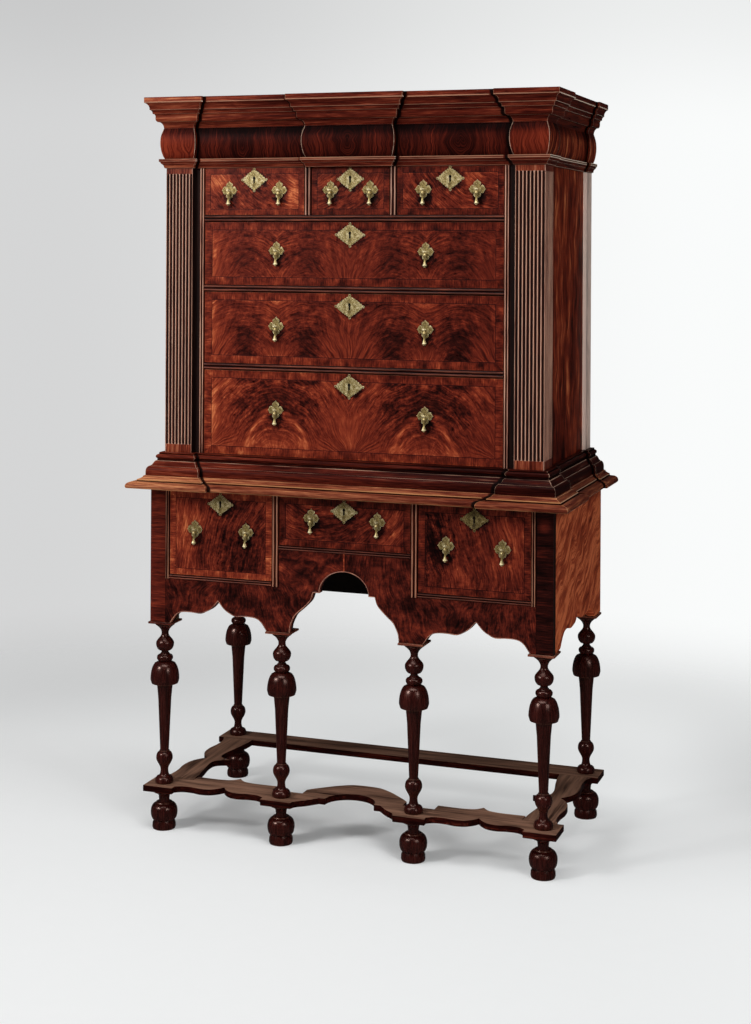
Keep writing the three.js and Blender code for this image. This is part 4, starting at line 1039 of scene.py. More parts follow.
def hollow_of(points, open_start, count, levels, from_top):
    """Faces of a moulded frame's open side: the walls of its hollow and the board across it."""
    inside = UPPER_WIDTH / 2 - MOULDING_WALL
    front, rear = DRAWER_FRONT + MOULDING_WALL, BACK - MOULDING_WALL
    hollow = [(-inside, front), (inside, front), (inside, rear), (-inside, rear)]
    bottom, top = levels
    open_level, board_level = (top, bottom + TOP_BOARD) if from_top else (bottom, top - TOP_BOARD)
    first = len(points)
    points += [(x, y, level) for level in (open_level, board_level) for x, y in hollow]
    outline = [Vector((*points[open_start + corner][:2], 0)) for corner in range(count)]
    faces = []
    for triangle in tessellate_polygon([outline, [Vector((x, y, 0)) for x, y in hollow]]):
        corners = [open_start + corner if corner < count else first + corner - count
                   for corner in triangle]
        a, b, c = (points[corner] for corner in corners)
        upward = (b[0] - a[0]) * (c[1] - a[1]) - (b[1] - a[1]) * (c[0] - a[0]) > 0
        faces.append(tuple(corners if upward == from_top else corners[::-1]))
    walls = [(first + a, first + (a + 1) % 4, first + 4 + (a + 1) % 4, first + 4 + a)
             for a in range(4)]
    board = tuple(range(first + 4, first + 8))
    if not from_top:
        return faces + walls + [board[::-1]]
    return faces + [wall[::-1] for wall in walls] + [board]


def make_mouldings():
    waist = profile_of(WAIST_RUNS, WAIST_PROJECTION, WAIST_BOTTOM, WAIST_HEIGHT - SEAT_GAP)
    base = profile_of(BASE_RUNS, BASE_PROJECTION, BASE_BOTTOM, BASE_HEIGHT - SEAT_GAP)
    cushion_bottom = FRIEZE_BOTTOM + ARCHITRAVE_HEIGHT
    frieze = profile_of(ARCHITRAVE_RUNS, ARCHITRAVE_PROJECTION, FRIEZE_BOTTOM, ARCHITRAVE_HEIGHT)
    frieze += profile_of(FRIEZE_RUNS, FRIEZE_SWELL, cushion_bottom, FRIEZE_HEIGHT - SEAT_GAP, 16)
    cornice = profile_of(CORNICE_RUNS, CORNICE_PROJECTION, CORNICE_BOTTOM, CORNICE_HEIGHT)
    for name, node, profile, support, centre, from_top, finishes, slot in (
            ("waist_mould", "waist_moulding", waist, 2.2, False, False, "waist", None),
            ("base_mould", "base_moulding", base, 2.2, False, False, "base", None),
            ("frieze_cushion", "frieze", frieze, 1.6, True, True, "cornice frieze",
             "walnut_veneer"),
            ("cornice_mould", "cornice", cornice, 2.0, True, False, "cornice", None)):
        form = moulded_form(refined(profile, support), centre, from_top)
        if node == "frieze":
            form.finishes = [
                int(min(form.points[corner][2] for corner in face) > cushion_bottom - 1)
                for face in form.faces]
        build(name, form, finishes, node, slot=slot)


# ---- Upper case


def fluted_run(start, end, depth):
    """Points along a face, with flutes cut to a share of their depth: along, in, wear, lighter on
    the lands and painted shade in the grooves.
    """
    points = []
    steps = 8
    for flute in range(FLUTES):
        middle = start + (end - start) / FLUTES * (flute + 0.5)
        for step in range(steps + 1):
            turn = math.pi * step / steps
            points.append((middle - math.cos(turn) * FLUTE_WIDTH / 2 * max(depth, 0.02),
                           FLUTE_DEPTH * max(depth, 0.005) * math.sin(turn),
                           max((1 - 1.9 * math.sin(turn)) * depth, -0.9)))
    return points


def pilaster_ring(depth):
    """Plan of a corner pilaster with its flutes at a share of their depth, and its wear: painted
    highlight on lands and corners, painted shade with dirt in the flutes and quirks, and painted
    shade on the stile flat and return.
    """
    side = UPPER_WIDTH / 2
    inner = DRAWER_FRONT + FRONT_BOARD
    ring = [(OPENING_HALF, inner, 0), (OPENING_HALF, DRAWER_FRONT, 0)]
    ring += [(OPENING_HALF + along, DRAWER_FRONT - out, wear_and_shade)
             for along, out, wear_and_shade in double_bead(STILE_BEAD)]
    # Painted shade: the stile flat and the return beside the pilaster are darkened
    ring += [(OPENING_HALF + STILE_BEAD + 1, DRAWER_FRONT, -0.5),
             (side - PILASTER_WIDTH, DRAWER_FRONT, -0.9),
             (side - PILASTER_WIDTH, UPPER_FRONT + 2, -0.9),
             (side - PILASTER_WIDTH, UPPER_FRONT, 0.6)]
    ring += [(x, UPPER_FRONT + inward, wear_and_shade)
             for x, inward, wear_and_shade in fluted_run(side - PILASTER_WIDTH, side, depth)]
    ring.append((side, UPPER_FRONT, 0.8))
    ring += [(side - inward, y, wear_and_shade)
             for y, inward, wear_and_shade in fluted_run(UPPER_FRONT, UPPER_FRONT + PILASTER_DEPTH, depth)]
    ring += [(side, SIDE_BLOCK_BACK - SEAT_GAP, 0.4),
             (side - PILASTER_WALL, SIDE_BLOCK_BACK - SEAT_GAP, 0),
             (side - PILASTER_WALL, inner, 0)]
    return ring


def make_pilasters():
    low, high = UPPER_BOTTOM + FLUTE_PLINTH, FRIEZE_BOTTOM - FLUTE_HEAD
    half = FLUTE_WIDTH / 2
    rounding = [(0, 0.0), (0.25, 0.66), (0.5, 0.87), (1, 1.0)]
    levels = [(UPPER_BOTTOM, 0), (low - 0.6, 0)]
    levels += [(low + half * rise, share) for rise, share in rounding]
    levels += [(high - half * rise, share) for rise, share in reversed(rounding)]
    levels += [(high + 0.6, 0), (FRIEZE_BOTTOM - SEAT_GAP, 0)]
    for name, hand in (("left", -1), ("right", 1)):
        rings, wear_and_shade = [], []
        for level, share in levels:
            ring = pilaster_ring(share)
            rings.append(([(hand * x, y) for x, y, _ in ring], level))
            wear_and_shade.append([worn for _, _, worn in ring])
        build(f"pilaster_{name}", stacked(rings, "z", "z", wear_and_shade), "pilaster",
              f"corner_pilaster_{name}",
              smooth=40)


def make_dividers():
    front, rear = DRAWER_FRONT, DRAWER_FRONT + FRONT_BOARD
    half, inside = OPENING_HALF - SEAT_GAP, UPPER_INSIDE - SEAT_GAP
    board_depth = (rear + SEAT_GAP, BACK - BACK_BOARD - SEAT_GAP)
    for number, top in ((1, TOP_BOTTOM), (2, SECOND_BOTTOM), (3, THIRD_BOTTOM)):
        rail = beaded_strip(top - RAIL, RAIL, front, rear, -half, half, "x")
        build(f"rail_{number}", rail, "rails", f"divider_{number}")
        board = box_form((-inside, inside), board_depth, (top - DUST_BOARD, top))
        build(f"dust_board_{number}", board, "inside", f"divider_{number}", bevel=0.5)
    for name, hand in (("left", -1), ("right", 1)):
        middle = hand * (TOP_CENTRE_WIDTH / 2 + TOP_PARTITION / 2)
        strip = beaded_strip(middle - TOP_PARTITION / 2, TOP_PARTITION, front, rear,
                             TOP_BOTTOM - SEAT_GAP, FRIEZE_BOTTOM - SEAT_GAP, "z")
        build(f"top_partition_{name}", strip, "beads", "divider_1")
        board = box_form((middle - DUST_BOARD / 2, middle + DUST_BOARD / 2), board_depth,
                         (TOP_BOTTOM + SEAT_GAP, FRIEZE_BOTTOM - SEAT_GAP), "y")
        build(f"top_partition_board_{name}", board, "inside", "divider_1", bevel=0.5)


def dress_boards():
    """Boards that stay as packed get their wood and softened edges."""
    for name, material in (("upper_side_left", "upper_side"), ("upper_side_right", "upper_side"),
                           ("upper_back", "back"), ("lower_back", "back"),
                           ("lower_drawer_floors", "inside_x")):
        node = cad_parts[name]
        node.data.materials.clear()
        node.data.materials.append(materials[material])
        soften(node, 0.8)


# ---- Lower case


def apron_half():
    """Half of the lower front's lower edge, from the corner in: across and up from the ledges."""
    shoulder = ARCH_SHOULDER_SPAN / 2
    bay = scallop(LOWER_WIDTH / 2 - OUTER_LEDGE, ARCH_SPAN / 2 + INNER_LEDGE, APRON_BAY, APRON_CUSP)
    leg = curve_through(
        [(ARCH_SPAN / 2 - run * (ARCH_SPAN / 2 - shoulder), up * ARCH_SHOULDER_HEIGHT)
         for run, up in ARCH_LEG], CURVE_STEPS)
    head = [(across, ARCH_SHOULDER_HEIGHT + up)
            for across, up in arch_head(ARCH_HEAD_SPAN / 2, ARCH_HEAD_HEIGHT)]
    return bay, leg + head


def lower_front_outline():
    """The board's outline with its drawer openings, which run up to the waist."""
    bay, arch = apron_half()
    apron = [(across, LOWER_BOTTOM + up)
             for across, up in mirrored([(LOWER_WIDTH / 2, 0)] + bay + arch)]
    top = WAIST_BOTTOM - SEAT_GAP
    half = [(LOWER_WIDTH / 2, top), (OUTER_OUTER, top), (OUTER_OUTER, OUTER_DRAWER_BOTTOM),
            (OUTER_INNER, OUTER_DRAWER_BOTTOM), (OUTER_INNER, top), (CENTRE_DRAWER_WIDTH / 2, top),
            (CENTRE_DRAWER_WIDTH / 2, CENTRE_DRAWER_BOTTOM)]
    return apron + [(-x, z) for x, z in half] + half[::-1]


def edge_strip(line, front, rear, thickness, proud):
    """A thin bead let into a curved edge: a strip along a line in a plane, from front to rear."""
    count = len(line)
    inner = []
    for index, (a, b) in enumerate(line):
        before, after = line[max(index - 1, 0)], line[min(index + 1, count - 1)]
        run = Vector((after[0] - before[0], after[1] - before[1])).normalized()
        inner.append((a - run[1] * thickness, b + run[0] * thickness))
    outer = [(a + (a - c) / thickness * proud, b + (b - d) / thickness * proud)
             for (a, b), (c, d) in zip(line, inner)]
    points = []
    for (a, b), (c, d) in zip(outer, inner):
        points += [(a, rear, b), (a, front + 0.7, b), ((a + c) / 2, front, (b + d) / 2),
                   (c, front + 0.7, d), (c, rear, d)]
    faces = ring_faces(count, 5)
    faces += [tuple(range(5))[::-1], tuple(range(count * 5 - 5, count * 5))]
    # Wear: painted highlight on the bead's crown, painted shade on its sides as they run back
    return points, faces, "x", [-1, 0.3, 1, -0.3, -1] * count


def make_apron_beads():
    front, rear = LOWER_FRONT - 1.1, LOWER_FRONT + FRONT_BOARD + 0.1
    form = Form()
    for hand in (-1, 1):
        for line in apron_half():
            placed = [(hand * across, LOWER_BOTTOM + up) for across, up in line]
            form.add(*edge_strip(placed, front, rear, 2.4 * -hand, 0.25))
    build("apron_edge_bead", form, "apron_bead", "lower_front", smooth=50, outward=True)


def make_lower_beads():
    front, rear = LOWER_FRONT, LOWER_FRONT + 2
    low = OUTER_DRAWER_BOTTOM - LOWER_EDGE_BEAD
    top = WAIST_BOTTOM - SEAT_GAP
    half = CENTRE_DRAWER_WIDTH / 2
    form = Form()
    for left, width in ((-OUTER_OUTER - LOWER_EDGE_BEAD, LOWER_EDGE_BEAD),
                        (-OUTER_INNER, LOWER_PARTITION), (half, LOWER_PARTITION),
                        (OUTER_OUTER, LOWER_EDGE_BEAD)):
        form.join(beaded_strip(left, width, front, rear, low, top, "z"))
    upright_faces = len(form.faces)
    for left, right, level in ((-OUTER_OUTER, -OUTER_INNER, OUTER_DRAWER_BOTTOM),
                               (-half, half, CENTRE_DRAWER_BOTTOM),
                               (OUTER_INNER, OUTER_OUTER, OUTER_DRAWER_BOTTOM)):
        form.join(beaded_strip(level - LOWER_EDGE_BEAD, LOWER_EDGE_BEAD, front, rear, left, right,
                               "x"))
    form.finishes[upright_faces:] = [1] * (len(form.faces) - upright_faces)
    build("lower_drawer_beads", form, "low_beads rails", "lower_front")


def make_posts():
    form = Form()
    top = OUTER_DRAWER_BOTTOM - DUST_BOARD - SEAT_GAP
    for leg_x in (-OUTER_LEG_X, -INNER_LEG_X, INNER_LEG_X, OUTER_LEG_X):
        outer = min(abs(leg_x) + POST_SIZE / 2, LOWER_INSIDE - SEAT_GAP)
        span = sorted(math.copysign(x, leg_x) for x in (outer - POST_SIZE, outer))
        depth = (LOWER_FRONT + FRONT_BOARD, LOWER_FRONT + FRONT_BOARD + POST_SIZE)
        form.join(box_form(span, depth, (LOWER_BOTTOM, top), "z"))
    build("leg_posts", form, "inside", "lower_front", bevel=0.8)


def make_lower_case():
    board = prism(lower_front_outline(), LOWER_FRONT, LOWER_FRONT + FRONT_BOARD, "y", "z")
    build("lower_front_board", board, "apron", "lower_front")
    make_apron_beads()
    make_lower_beads()
    make_posts()
    bay = scallop(-BACK + SIDE_LEDGE, BACK - SIDE_LEDGE, SIDE_BAY, SIDE_CUSP)
    front, top = LOWER_FRONT + FRONT_BOARD + SEAT_GAP, WAIST_BOTTOM - SEAT_GAP
    outline = [(front, LOWER_BOTTOM)] + [(across, LOWER_BOTTOM + up) for across, up in bay]
    outline += [(BACK, LOWER_BOTTOM), (BACK, top), (front, top)]
    for name, start in (("left", -LOWER_WIDTH / 2), ("right", LOWER_INSIDE)):
        build(f"lower_side_board_{name}", prism(outline, start, start + SIDE_BOARD, "x", "z"),
              "lower_side", f"lower_side_{name}", bevel=0.8)


# ---- Stand

LEG_PLACES = {
    "front_left": (-OUTER_LEG_X, FRONT_LEG_Y), "front_inner_left": (-INNER_LEG_X, FRONT_LEG_Y),
    "front_inner_right": (INNER_LEG_X, FRONT_LEG_Y), "front_right": (OUTER_LEG_X, FRONT_LEG_Y),
    "rear_left": (-OUTER_LEG_X, REAR_LEG_Y), "rear_right": (OUTER_LEG_X, REAR_LEG_Y),
}


def make_legs_and_feet():
    leg = refined(turned_profile(LEG_CUTS, LEG_HEIGHT - SEAT_GAP, LEG_RADIUS), 0.5, 30)
    foot = refined(turned_profile(FOOT_CUTS, FOOT_HEIGHT - SEAT_GAP, FOOT_RADIUS), 0.5, 30)
    half, cap_level = CAP_SIZE / 2, LEG_BOTTOM + LEG_HEIGHT - SEAT_GAP
    for name, (x, y) in LEG_PLACES.items():
        build(f"turned_leg_{name}", lathe(leg, TURNING_SIDES, (x, y, LEG_BOTTOM)), "turned",
              f"leg_{name}")
        cap = box_form((x - half, x + half), (y - half, y + half), (cap_level, cap_level + CAP),
                       "x", 0.45)
        build(f"leg_cap_{name}", cap, "cap", f"leg_{name}", bevel=1.2)
        build(f"turned_foot_{name}", lathe(foot, TURNING_SIDES, (x, y, 0)), "turned",
              f"foot_{name}")


def front_stretcher_outline():
    pad_front, pad_rear = FRONT_LEG_Y - PAD_HALF, FRONT_LEG_Y + PAD_HALF
    bay_rear = pad_front + FRONT_BAND + FRONT_CUSP * BAY_FLAT
    bay = scallop(OUTER_LEG_X - PAD_HALF, INNER_LEG_X + PAD_HALF, STRETCHER_BAY, FRONT_CUSP)
    inner_bay = scallop(INNER_LEG_X + PAD_HALF, STRETCHER_INNER, INNER_BAY, INNER_CUSP)
    arch_start = INNER_LEG_X - PAD_HALF
    shoulder = FRONT_SHOULDER * FRONT_ARCH_RISE
    arch_run = arch_start - ARCH_SHOULDER_SPAN / 2
    rear_drop = FRONT_ARCH_BACK - (bay_rear - pad_front)
    front = [(STRETCHER_OUTER, 0), (OUTER_LEG_X - PAD_HALF, 0), *bay, (INNER_LEG_X + PAD_HALF, 0)]
    front += curve_through([(arch_start - run * arch_run, up * shoulder) for run, up in FRONT_ARCH],
                           16)
    front += [(x, shoulder + y)
              for x, y in arch_head(ARCH_HEAD_SPAN / 2, FRONT_ARCH_RISE - shoulder)]
    rear = [(STRETCHER_OUTER, pad_rear), (STRETCHER_INNER, pad_rear)]
    rear += [(x, bay_rear + y) for x, y in reversed(inner_bay)]
    rear += [(INNER_LEG_X + PAD_HALF, pad_rear), (arch_start, pad_rear)]
    rear += curve_through([(run * arch_start, pad_front + FRONT_ARCH_BACK - down * rear_drop)
                           for run, down in FRONT_REAR], 24)[::-1]
    return mirrored([(x, pad_front + y) for x, y in front]) + mirrored(rear)[::-1]


def side_stretcher_outline():
    start, end = FRONT_LEG_Y + PAD_HALF + SEAT_GAP, REAR_LEG_Y - PAD_HALF - SEAT_GAP
    bay = scallop(start, end, STRETCHER_BAY, SIDE_STRETCHER_CUSP)
    inner_bay = scallop(start, end, SIDE_INNER_BAY, INNER_CUSP)
    outline = [(STRETCHER_OUTER - depth, y) for y, depth in bay]
    return outline + [(STRETCHER_INNER + SEAT_GAP - depth, y) for y, depth in reversed(inner_bay)]


def make_stretchers():
    low, high = FOOT_HEIGHT, FOOT_HEIGHT + STRETCHER - SEAT_GAP
    side = side_stretcher_outline()
    rear = box_form((-STRETCHER_OUTER, STRETCHER_OUTER), (REAR_LEG_Y - PAD_HALF, BACK), (low, high))
    for name, form in (
            ("front", prism(front_stretcher_outline(), low, high, "z")),
            ("rear", rear),
            ("left", prism([(-x, y) for x, y in side], low, high, "z", "y")),
            ("right", prism(side, low, high, "z", "y"))):
        build(f"stretcher_board_{name}", form, "stretcher", f"stretcher_{name}", bevel=1.0)


# ---- Drawers and brass


def inset(outline, distance):
    """An outline moved inward."""
    hand = 1 if area(outline) > 0 else -1
    result = []
    for index, (a, b) in enumerate(outline):
        before, after = outline[index - 1], outline[(index + 1) % len(outline)]
        run = Vector((after[0] - before[0], after[1] - before[1])).normalized()
        result.append((a - run[1] * distance * hand, b + run[0] * distance * hand))
    return result


def chamfered(outline, holes, x, z, face, thickness):
    """A brass plate with a bevelled rim and holes through it."""
    low, high = face, face - thickness
    rim = inset(outline, PLATE_CHAMFER)
    count, pierced = len(outline), [point for hole in holes for point in hole]
    # Wear per ring: painted shade at the plate's foot and deep in the holes, a painted highlight on
    # the bevel
    rings = [(outline, low, -0.3), (outline, high + PLATE_CHAMFER, 1.0), (rim, high, 0.3),
             (pierced, high, 0.5), (pierced, low, -1)]
    points = [(x + a, level, z + b) for ring, level, _ in rings for a, b in ring]
    wear_and_shade = [worn for ring, _, worn in rings for _ in ring]
    faces = ring_faces(3, count)
    start = 3 * count
    for hole in holes:
        faces += ring_faces(2, len(hole), start, len(pierced))
        start += len(hole)
    for edge, first, beyond in ((rim, 2 * count, 2 * count),
                                (outline, 0, 2 * count + len(pierced))):
        loops = [[Vector((a, b, 0)) for a, b in loop] for loop in [edge, *holes]]
        for triangle in tessellate_polygon(loops):
            faces.append(tuple(corner + (first if corner < count else beyond)
                               for corner in triangle))
    return Form().add(points, faces, "x", wear_and_shade)


def circle(centre, radius, start, end, steps):
    """Points on an arc from one turn to another, in degrees."""
    turns = [math.radians(start + (end - start) * step / steps) for step in range(steps + 1)]
    return [(centre[0] + radius * math.cos(turn), centre[1] + radius * math.sin(turn))
            for turn in turns]


def plate_outline():
    lobe = LOBE + [(-across, out) for across, out in reversed(LOBE[:-1])]
    outline = []
    for index in range(4):
        turn = -index * math.pi / 2
        for across, out in reversed(lobe[:-1]):
            outline.append(((across * math.cos(turn) - out * math.sin(turn)) * PLATE_RADIUS
                            * PLATE_SPREAD,
                            (across * math.sin(turn) + out * math.cos(turn)) * PLATE_RADIUS))
    return outline


def escutcheon_outline(width, height):
    """A lozenge with scalloped edges and a ring at each point, and the holes of the rings."""
    across, up, ring = width / 2, height / 2, ESCUTCHEON_RING
    start, end = Vector((across - 2.1 * ring, 0.95 * ring)), Vector((0.95 * ring, up - 2.1 * ring))
    out = Vector((end[1] - start[1], start[0] - end[0])).normalized()
    edge = []
    steps = ESCUTCHEON_SCALLOPS * 4
    for step in range(steps + 1):
        done = step / steps
        swell = ESCUTCHEON_BULGE * math.sin(math.pi * done)
        swell += SCALLOP_DEPTH * abs(math.sin(math.pi * done * ESCUTCHEON_SCALLOPS))
        edge.append(tuple(start + (end - start) * done + out * swell))
    quarter = circle((across - ring, 0), ring, 0, 125, 5) + edge
    quarter += circle((0, up - ring), ring, -35, 90, 5)
    outline = []
    for right, high in ((1, 1), (-1, 1), (-1, -1), (1, -1)):
        part = quarter[:-1] if right * high > 0 else quarter[1:][::-1]
        outline += [(right * a, high * b) for a, b in part]
    centres = [(across - ring, 0), (0, up - ring), (ring - across, 0), (0, ring - up)]
    return outline, [circle(centre, ESCUTCHEON_HOLE, 0, 315, 7) for centre in centres]


def make_fittings(name, body, x, z, face):
    """A pull plate with the two ears and the pin that its drop hangs on."""
    plate = chamfered(plate_outline(), [], x, z, face, PLATE)
    ears, pin = Form(), Form()
    for hand in (-1, 1):
        span = sorted((x + hand * EAR_NEAR, x + hand * EAR_FAR))
        ears.join(box_form(span, (face - PIN_REACH - EAR_HALF, face - PLATE + 0.2),
                           (z - EAR_HALF, z + EAR_HALF), "x", 0.3))
    profile = [(0, -PIN_HALF, 0), (PIN_RADIUS, -PIN_HALF, 0.3), (PIN_RADIUS, PIN_HALF, 0.3),
               (0, PIN_HALF, 0)]
    upright = lathe(profile, PIN_SIDES, (0, 0, 0))
    pin.add([(x + c, face - PIN_REACH + b, z + a) for a, b, c in upright.points], upright.faces,
            "x",
            upright.wear_and_shade)
    for part, form, finish, bevel in (("plate", plate, "plate", 0), ("ears", ears, "drop", 0.4),
                                      ("pin", pin, "drop", 0)):
        build(f"pull_{part}_{name}", form, finish, body=body, bevel=bevel, centre=(x, face, z),
              outward=part != "ears")


def make_drop(name, x, z, face):
    """A hanging drop: a ring round the pin, a turned shank and a bell with its knob."""
    body = f"drop_{name}"
    y = face - PIN_REACH
    # Wear: painted highlight on the widest parts, painted shade on the narrow necks
    profile = [(out * DROP_RADIUS, -down * DROP_LENGTH,
                0.25 if out > 0.8 else -0.2 if out < 0.42 else 0)
               for down, out in reversed(DROP_PROFILE)]
    form = lathe(profile, DROP_SIDES, (x, y, z))
    points, faces = [], []
    for side in range(RING_SIDES):
        turn = 2 * math.pi * side / RING_SIDES
        for step in range(RING_TUBE_SIDES):
            roll = 2 * math.pi * step / RING_TUBE_SIDES
            reach = RING_RADIUS + RING_TUBE * math.cos(roll)
            points.append((x + RING_TUBE * RING_STRETCH * math.sin(roll),
                           y + reach * math.cos(turn),
                           z + reach * math.sin(turn)))
            here, after = side * RING_TUBE_SIDES, (side + 1) % RING_SIDES * RING_TUBE_SIDES
            over = (step + 1) % RING_TUBE_SIDES
            faces.append((here + step, after + step, after + over, here + over))
    form.add(points, faces, "x", [0.2] * len(points))
    build(f"brass_drop_{name}", form, "drop", body, body, centre=(x, y, z), smooth=50, outward=True)


def tray_form(left, right, bottom, top, face):
    """Sides, back and bottom of a drawer as separate boards."""
    x0, x1 = left + DRAWER_GAP + DRAWER_SET_IN, right - DRAWER_GAP - DRAWER_SET_IN
    z0, z1 = bottom + SEAT_GAP, top - DRAWER_GAP - DRAWER_SIDE_DROP
    front, rear = face + FRONT_BOARD, BACK - BACK_BOARD - DRAWER_STOP
    between, back_front = (x0 + DRAWER_SIDE, x1 - DRAWER_SIDE), rear - DRAWER_SIDE
    form = box_form((x0, x0 + DRAWER_SIDE), (front, rear), (z0, z1), "y")
    form.join(box_form((x1 - DRAWER_SIDE, x1), (front, rear), (z0, z1), "y"))
    form.join(box_form(between, (back_front, rear), (z0, z1 - 2)))
    return form.join(box_form(between, (front, back_front), (z0, z0 + DRAWER_BOTTOM)))


def make_drawer(name, box, face, pull_spacing, pull_height, lock, band):
    left, right, bottom, top = box
    body = f"drawer_{name}"
    x, z = (left + DRAWER_GAP, right - DRAWER_GAP), (bottom + SEAT_GAP, top - DRAWER_GAP)
    front = box_form(x, (face, face + FRONT_BOARD), z)
    front.finishes = [1, 1, 0, 1, 1, 1]
    lock_width, lock_height, lock_drop = lock
    middle, lock_z, pull_z = (left + right) / 2, top - lock_drop, bottom + pull_height
    pulls = (middle - pull_spacing / 2, middle + pull_spacing / 2)
    fittings = [((pull_x + 4, pull_z - 12), (23, 30)) for pull_x in pulls]
    fittings.append(((middle + 6, lock_z - 5), (lock_width * 0.52, lock_height * 0.5)))
    materials[name] = veneered_front(f"veneer_{name}", (*x, *z), band, FIGURES[name], fittings)
    build(f"drawer_front_{name}", front, f"{name} inside", body, body, bevel=0.9)
    build(f"drawer_tray_{name}", tray_form(*box, face), "inside", body, body, bevel=0.6)
    outline, holes = escutcheon_outline(lock_width, lock_height)
    plate = chamfered(outline, [KEYHOLE, *holes], middle, lock_z, face, PLATE)
    build(f"escutcheon_{name}", plate, "plate_dark" if name == "lower_right" else "plate",
          body=body,
          centre=(middle, face, lock_z), outward=True)
    # Dark box behind the keyhole, carrying the painted shade inside it
    hole = box_form((middle - 4, middle + 4), (face - 0.3, face + 0.5), (lock_z - 9, lock_z + 9))
    build(f"keyhole_{name}", hole, "keyhole", body=body)
    for hand, pull_x in zip(("left", "right"), pulls):
        make_fittings(f"{name}_{hand}", body, pull_x, pull_z, face)
        make_drop(f"{name}_{hand}", pull_x, pull_z, face)


# Figures: the middle of the arcs that the grain follows and patches of darker and lighter wood, in
# millimetres from the drawer's middle and bottom
FIGURES = {
    "second": {"seed": 11, "level": 0.5, "slope": -0.14, "fold": 186.5, "centre": (82, -40),
               "ratio": 0.85, "band": 0.48,
               "fans": [((186, -40), 230, 0.56, 0.7), ((0, -14), 60, 0.56, 0.8)],
               "spots": [((80, 70), (52, 80), -0.14), ((0, 120), (40, 30), -0.06)],
               "marks": [((98, 15), (34, 9), -0.4), ((289, 15), (26, 8), -0.36),
                         ((-350, 70), (26, 90), 0.16),
                         ((-60, 146), (24, 7), 0.3), ((355, 6), (22, 6), 0.4)]},
    "third": {"seed": 23, "level": 0.46, "slope": -0.14, "fold": 186.5, "centre": (82, -10),
              "ratio": 0.95, "band": 0.52,
              "fans": [((186, -36), 240, 0.58, 0.85), ((0, -6), 74, 0.68, 1.0)],
              "spots": [((78, 44), (50, 84), -0.24), ((80, 16), (58, 22), -0.16),
                        ((0, 148), (26, 26), 0.2),
                        ((26, 110), (14, 40), 0.14)],
              "marks": [((180, 160), (210, 8), 0.24), ((-352, 100), (22, 100), 0.2)]},
    "bottom": {"seed": 37, "level": 0.525, "slope": -0.12, "fold": 186.5, "centre": (0, -30),
               "ratio": 0.8, "band": 0.56,
               "fans": [((186, 6), 140, 0.64, 0.8), ((0, -16), 84, 0.6, 0.6)],
               "spots": [((0, 128), (110, 66), -0.26), ((30, 26), (110, 26), 0.1),
                         ((0, 172), (17, 20), 0.3),
                         ((60, 180), (50, 16), -0.16)],
               "streaks": [((16, 116), (82, 16), 14, 0.2), ((36, 112), (58, 62), 9, 0.16),
                           ((186, 26), (150, 176), 14, 0.14),
                           ((112, 184), (160, 150), 10, 0.2)],
               "marks": [((-354, 100), (24, 120), 0.24), ((-200, 193), (180, 9), 0.2),
                         ((0, 14), (40, 14), -0.2)]},
    "top_left": {"seed": 41, "level": 0.56, "centre": (160, 190), "ratio": 1.2, "band": 0.58,
                 "spots": [((-92, 86), (40, 34), 0.34), ((98, 50), (30, 60), 0.3),
                           ((18, 30), (60, 40), -0.1)],
                 "marks": [((40, 24), (50, 12), 0.14)]},
    "top_centre": {"seed": 53, "level": 0.5, "centre": (-140, 170), "ratio": 1.2, "band": 0.44,
                   "spots": [((-55, 84), (30, 26), 0.2), ((60, 80), (40, 30), 0.14),
                             ((26, 20), (50, 30), -0.1)]},
    "top_right": {"seed": 67, "level": 0.49, "centre": (170, 190), "ratio": 1.2, "band": 0.42,
                  "spots": [((60, 92), (60, 26), 0.2), ((-60, 50), (40, 50), -0.1),
                            ((20, 30), (40, 40), 0.08)]},
    "lower_left": {"seed": 71, "level": 0.46, "centre": (330, -90), "ratio": 0.7, "band": 0.68,
                   "spots": [((-96, 110), (44, 110), 0.3), ((60, 60), (80, 70), -0.2),
                             ((20, 176), (60, 40), -0.16)],
                   "marks": [((-124, 60), (10, 130), 0.16), ((0, 9), (120, 9), 0.16),
                             ((-62, 130), (36, 50), 0.16)]},
    "lower_centre": {"seed": 83, "level": 0.45, "centre": (-60, 260), "ratio": 0.8, "band": 0.44,
                     "spots": [((120, 60), (50, 60), 0.2), ((-30, 60), (90, 60), -0.08),
                               ((-136, 50), (26, 50), 0.1)],
                     "marks": [((-20, 12), (130, 9), 0.26)]},
    "lower_right": {"seed": 97, "level": 0.45, "centre": (-330, -90), "ratio": 0.6, "band": 0.44,
                    "spots": [((-96, 112), (46, 84), -0.44), ((80, 110), (60, 80), 0.28),
                              ((0, 40), (90, 40), 0.08)],
                    "marks": [((126, 100), (9, 110), 0.2)]},
}
# Width, height and drop from the drawer's top of the locks' plates
LONG_LOCK, TOP_LOCK, LOWER_LOCK = (75, 59, 31), (68, 58, 29), (67, 55, 28)
LONG_PULLS, SIDE_PULLS, TOP_CENTRE_PULLS = 373, 129.5, 99
LOWER_PULLS, LOWER_CENTRE_PULLS = 133.4, 164.4
LONG_BAND, TOP_BAND, LOWER_BAND = 19, 14, 16
TOP_PULL_HEIGHT = 59


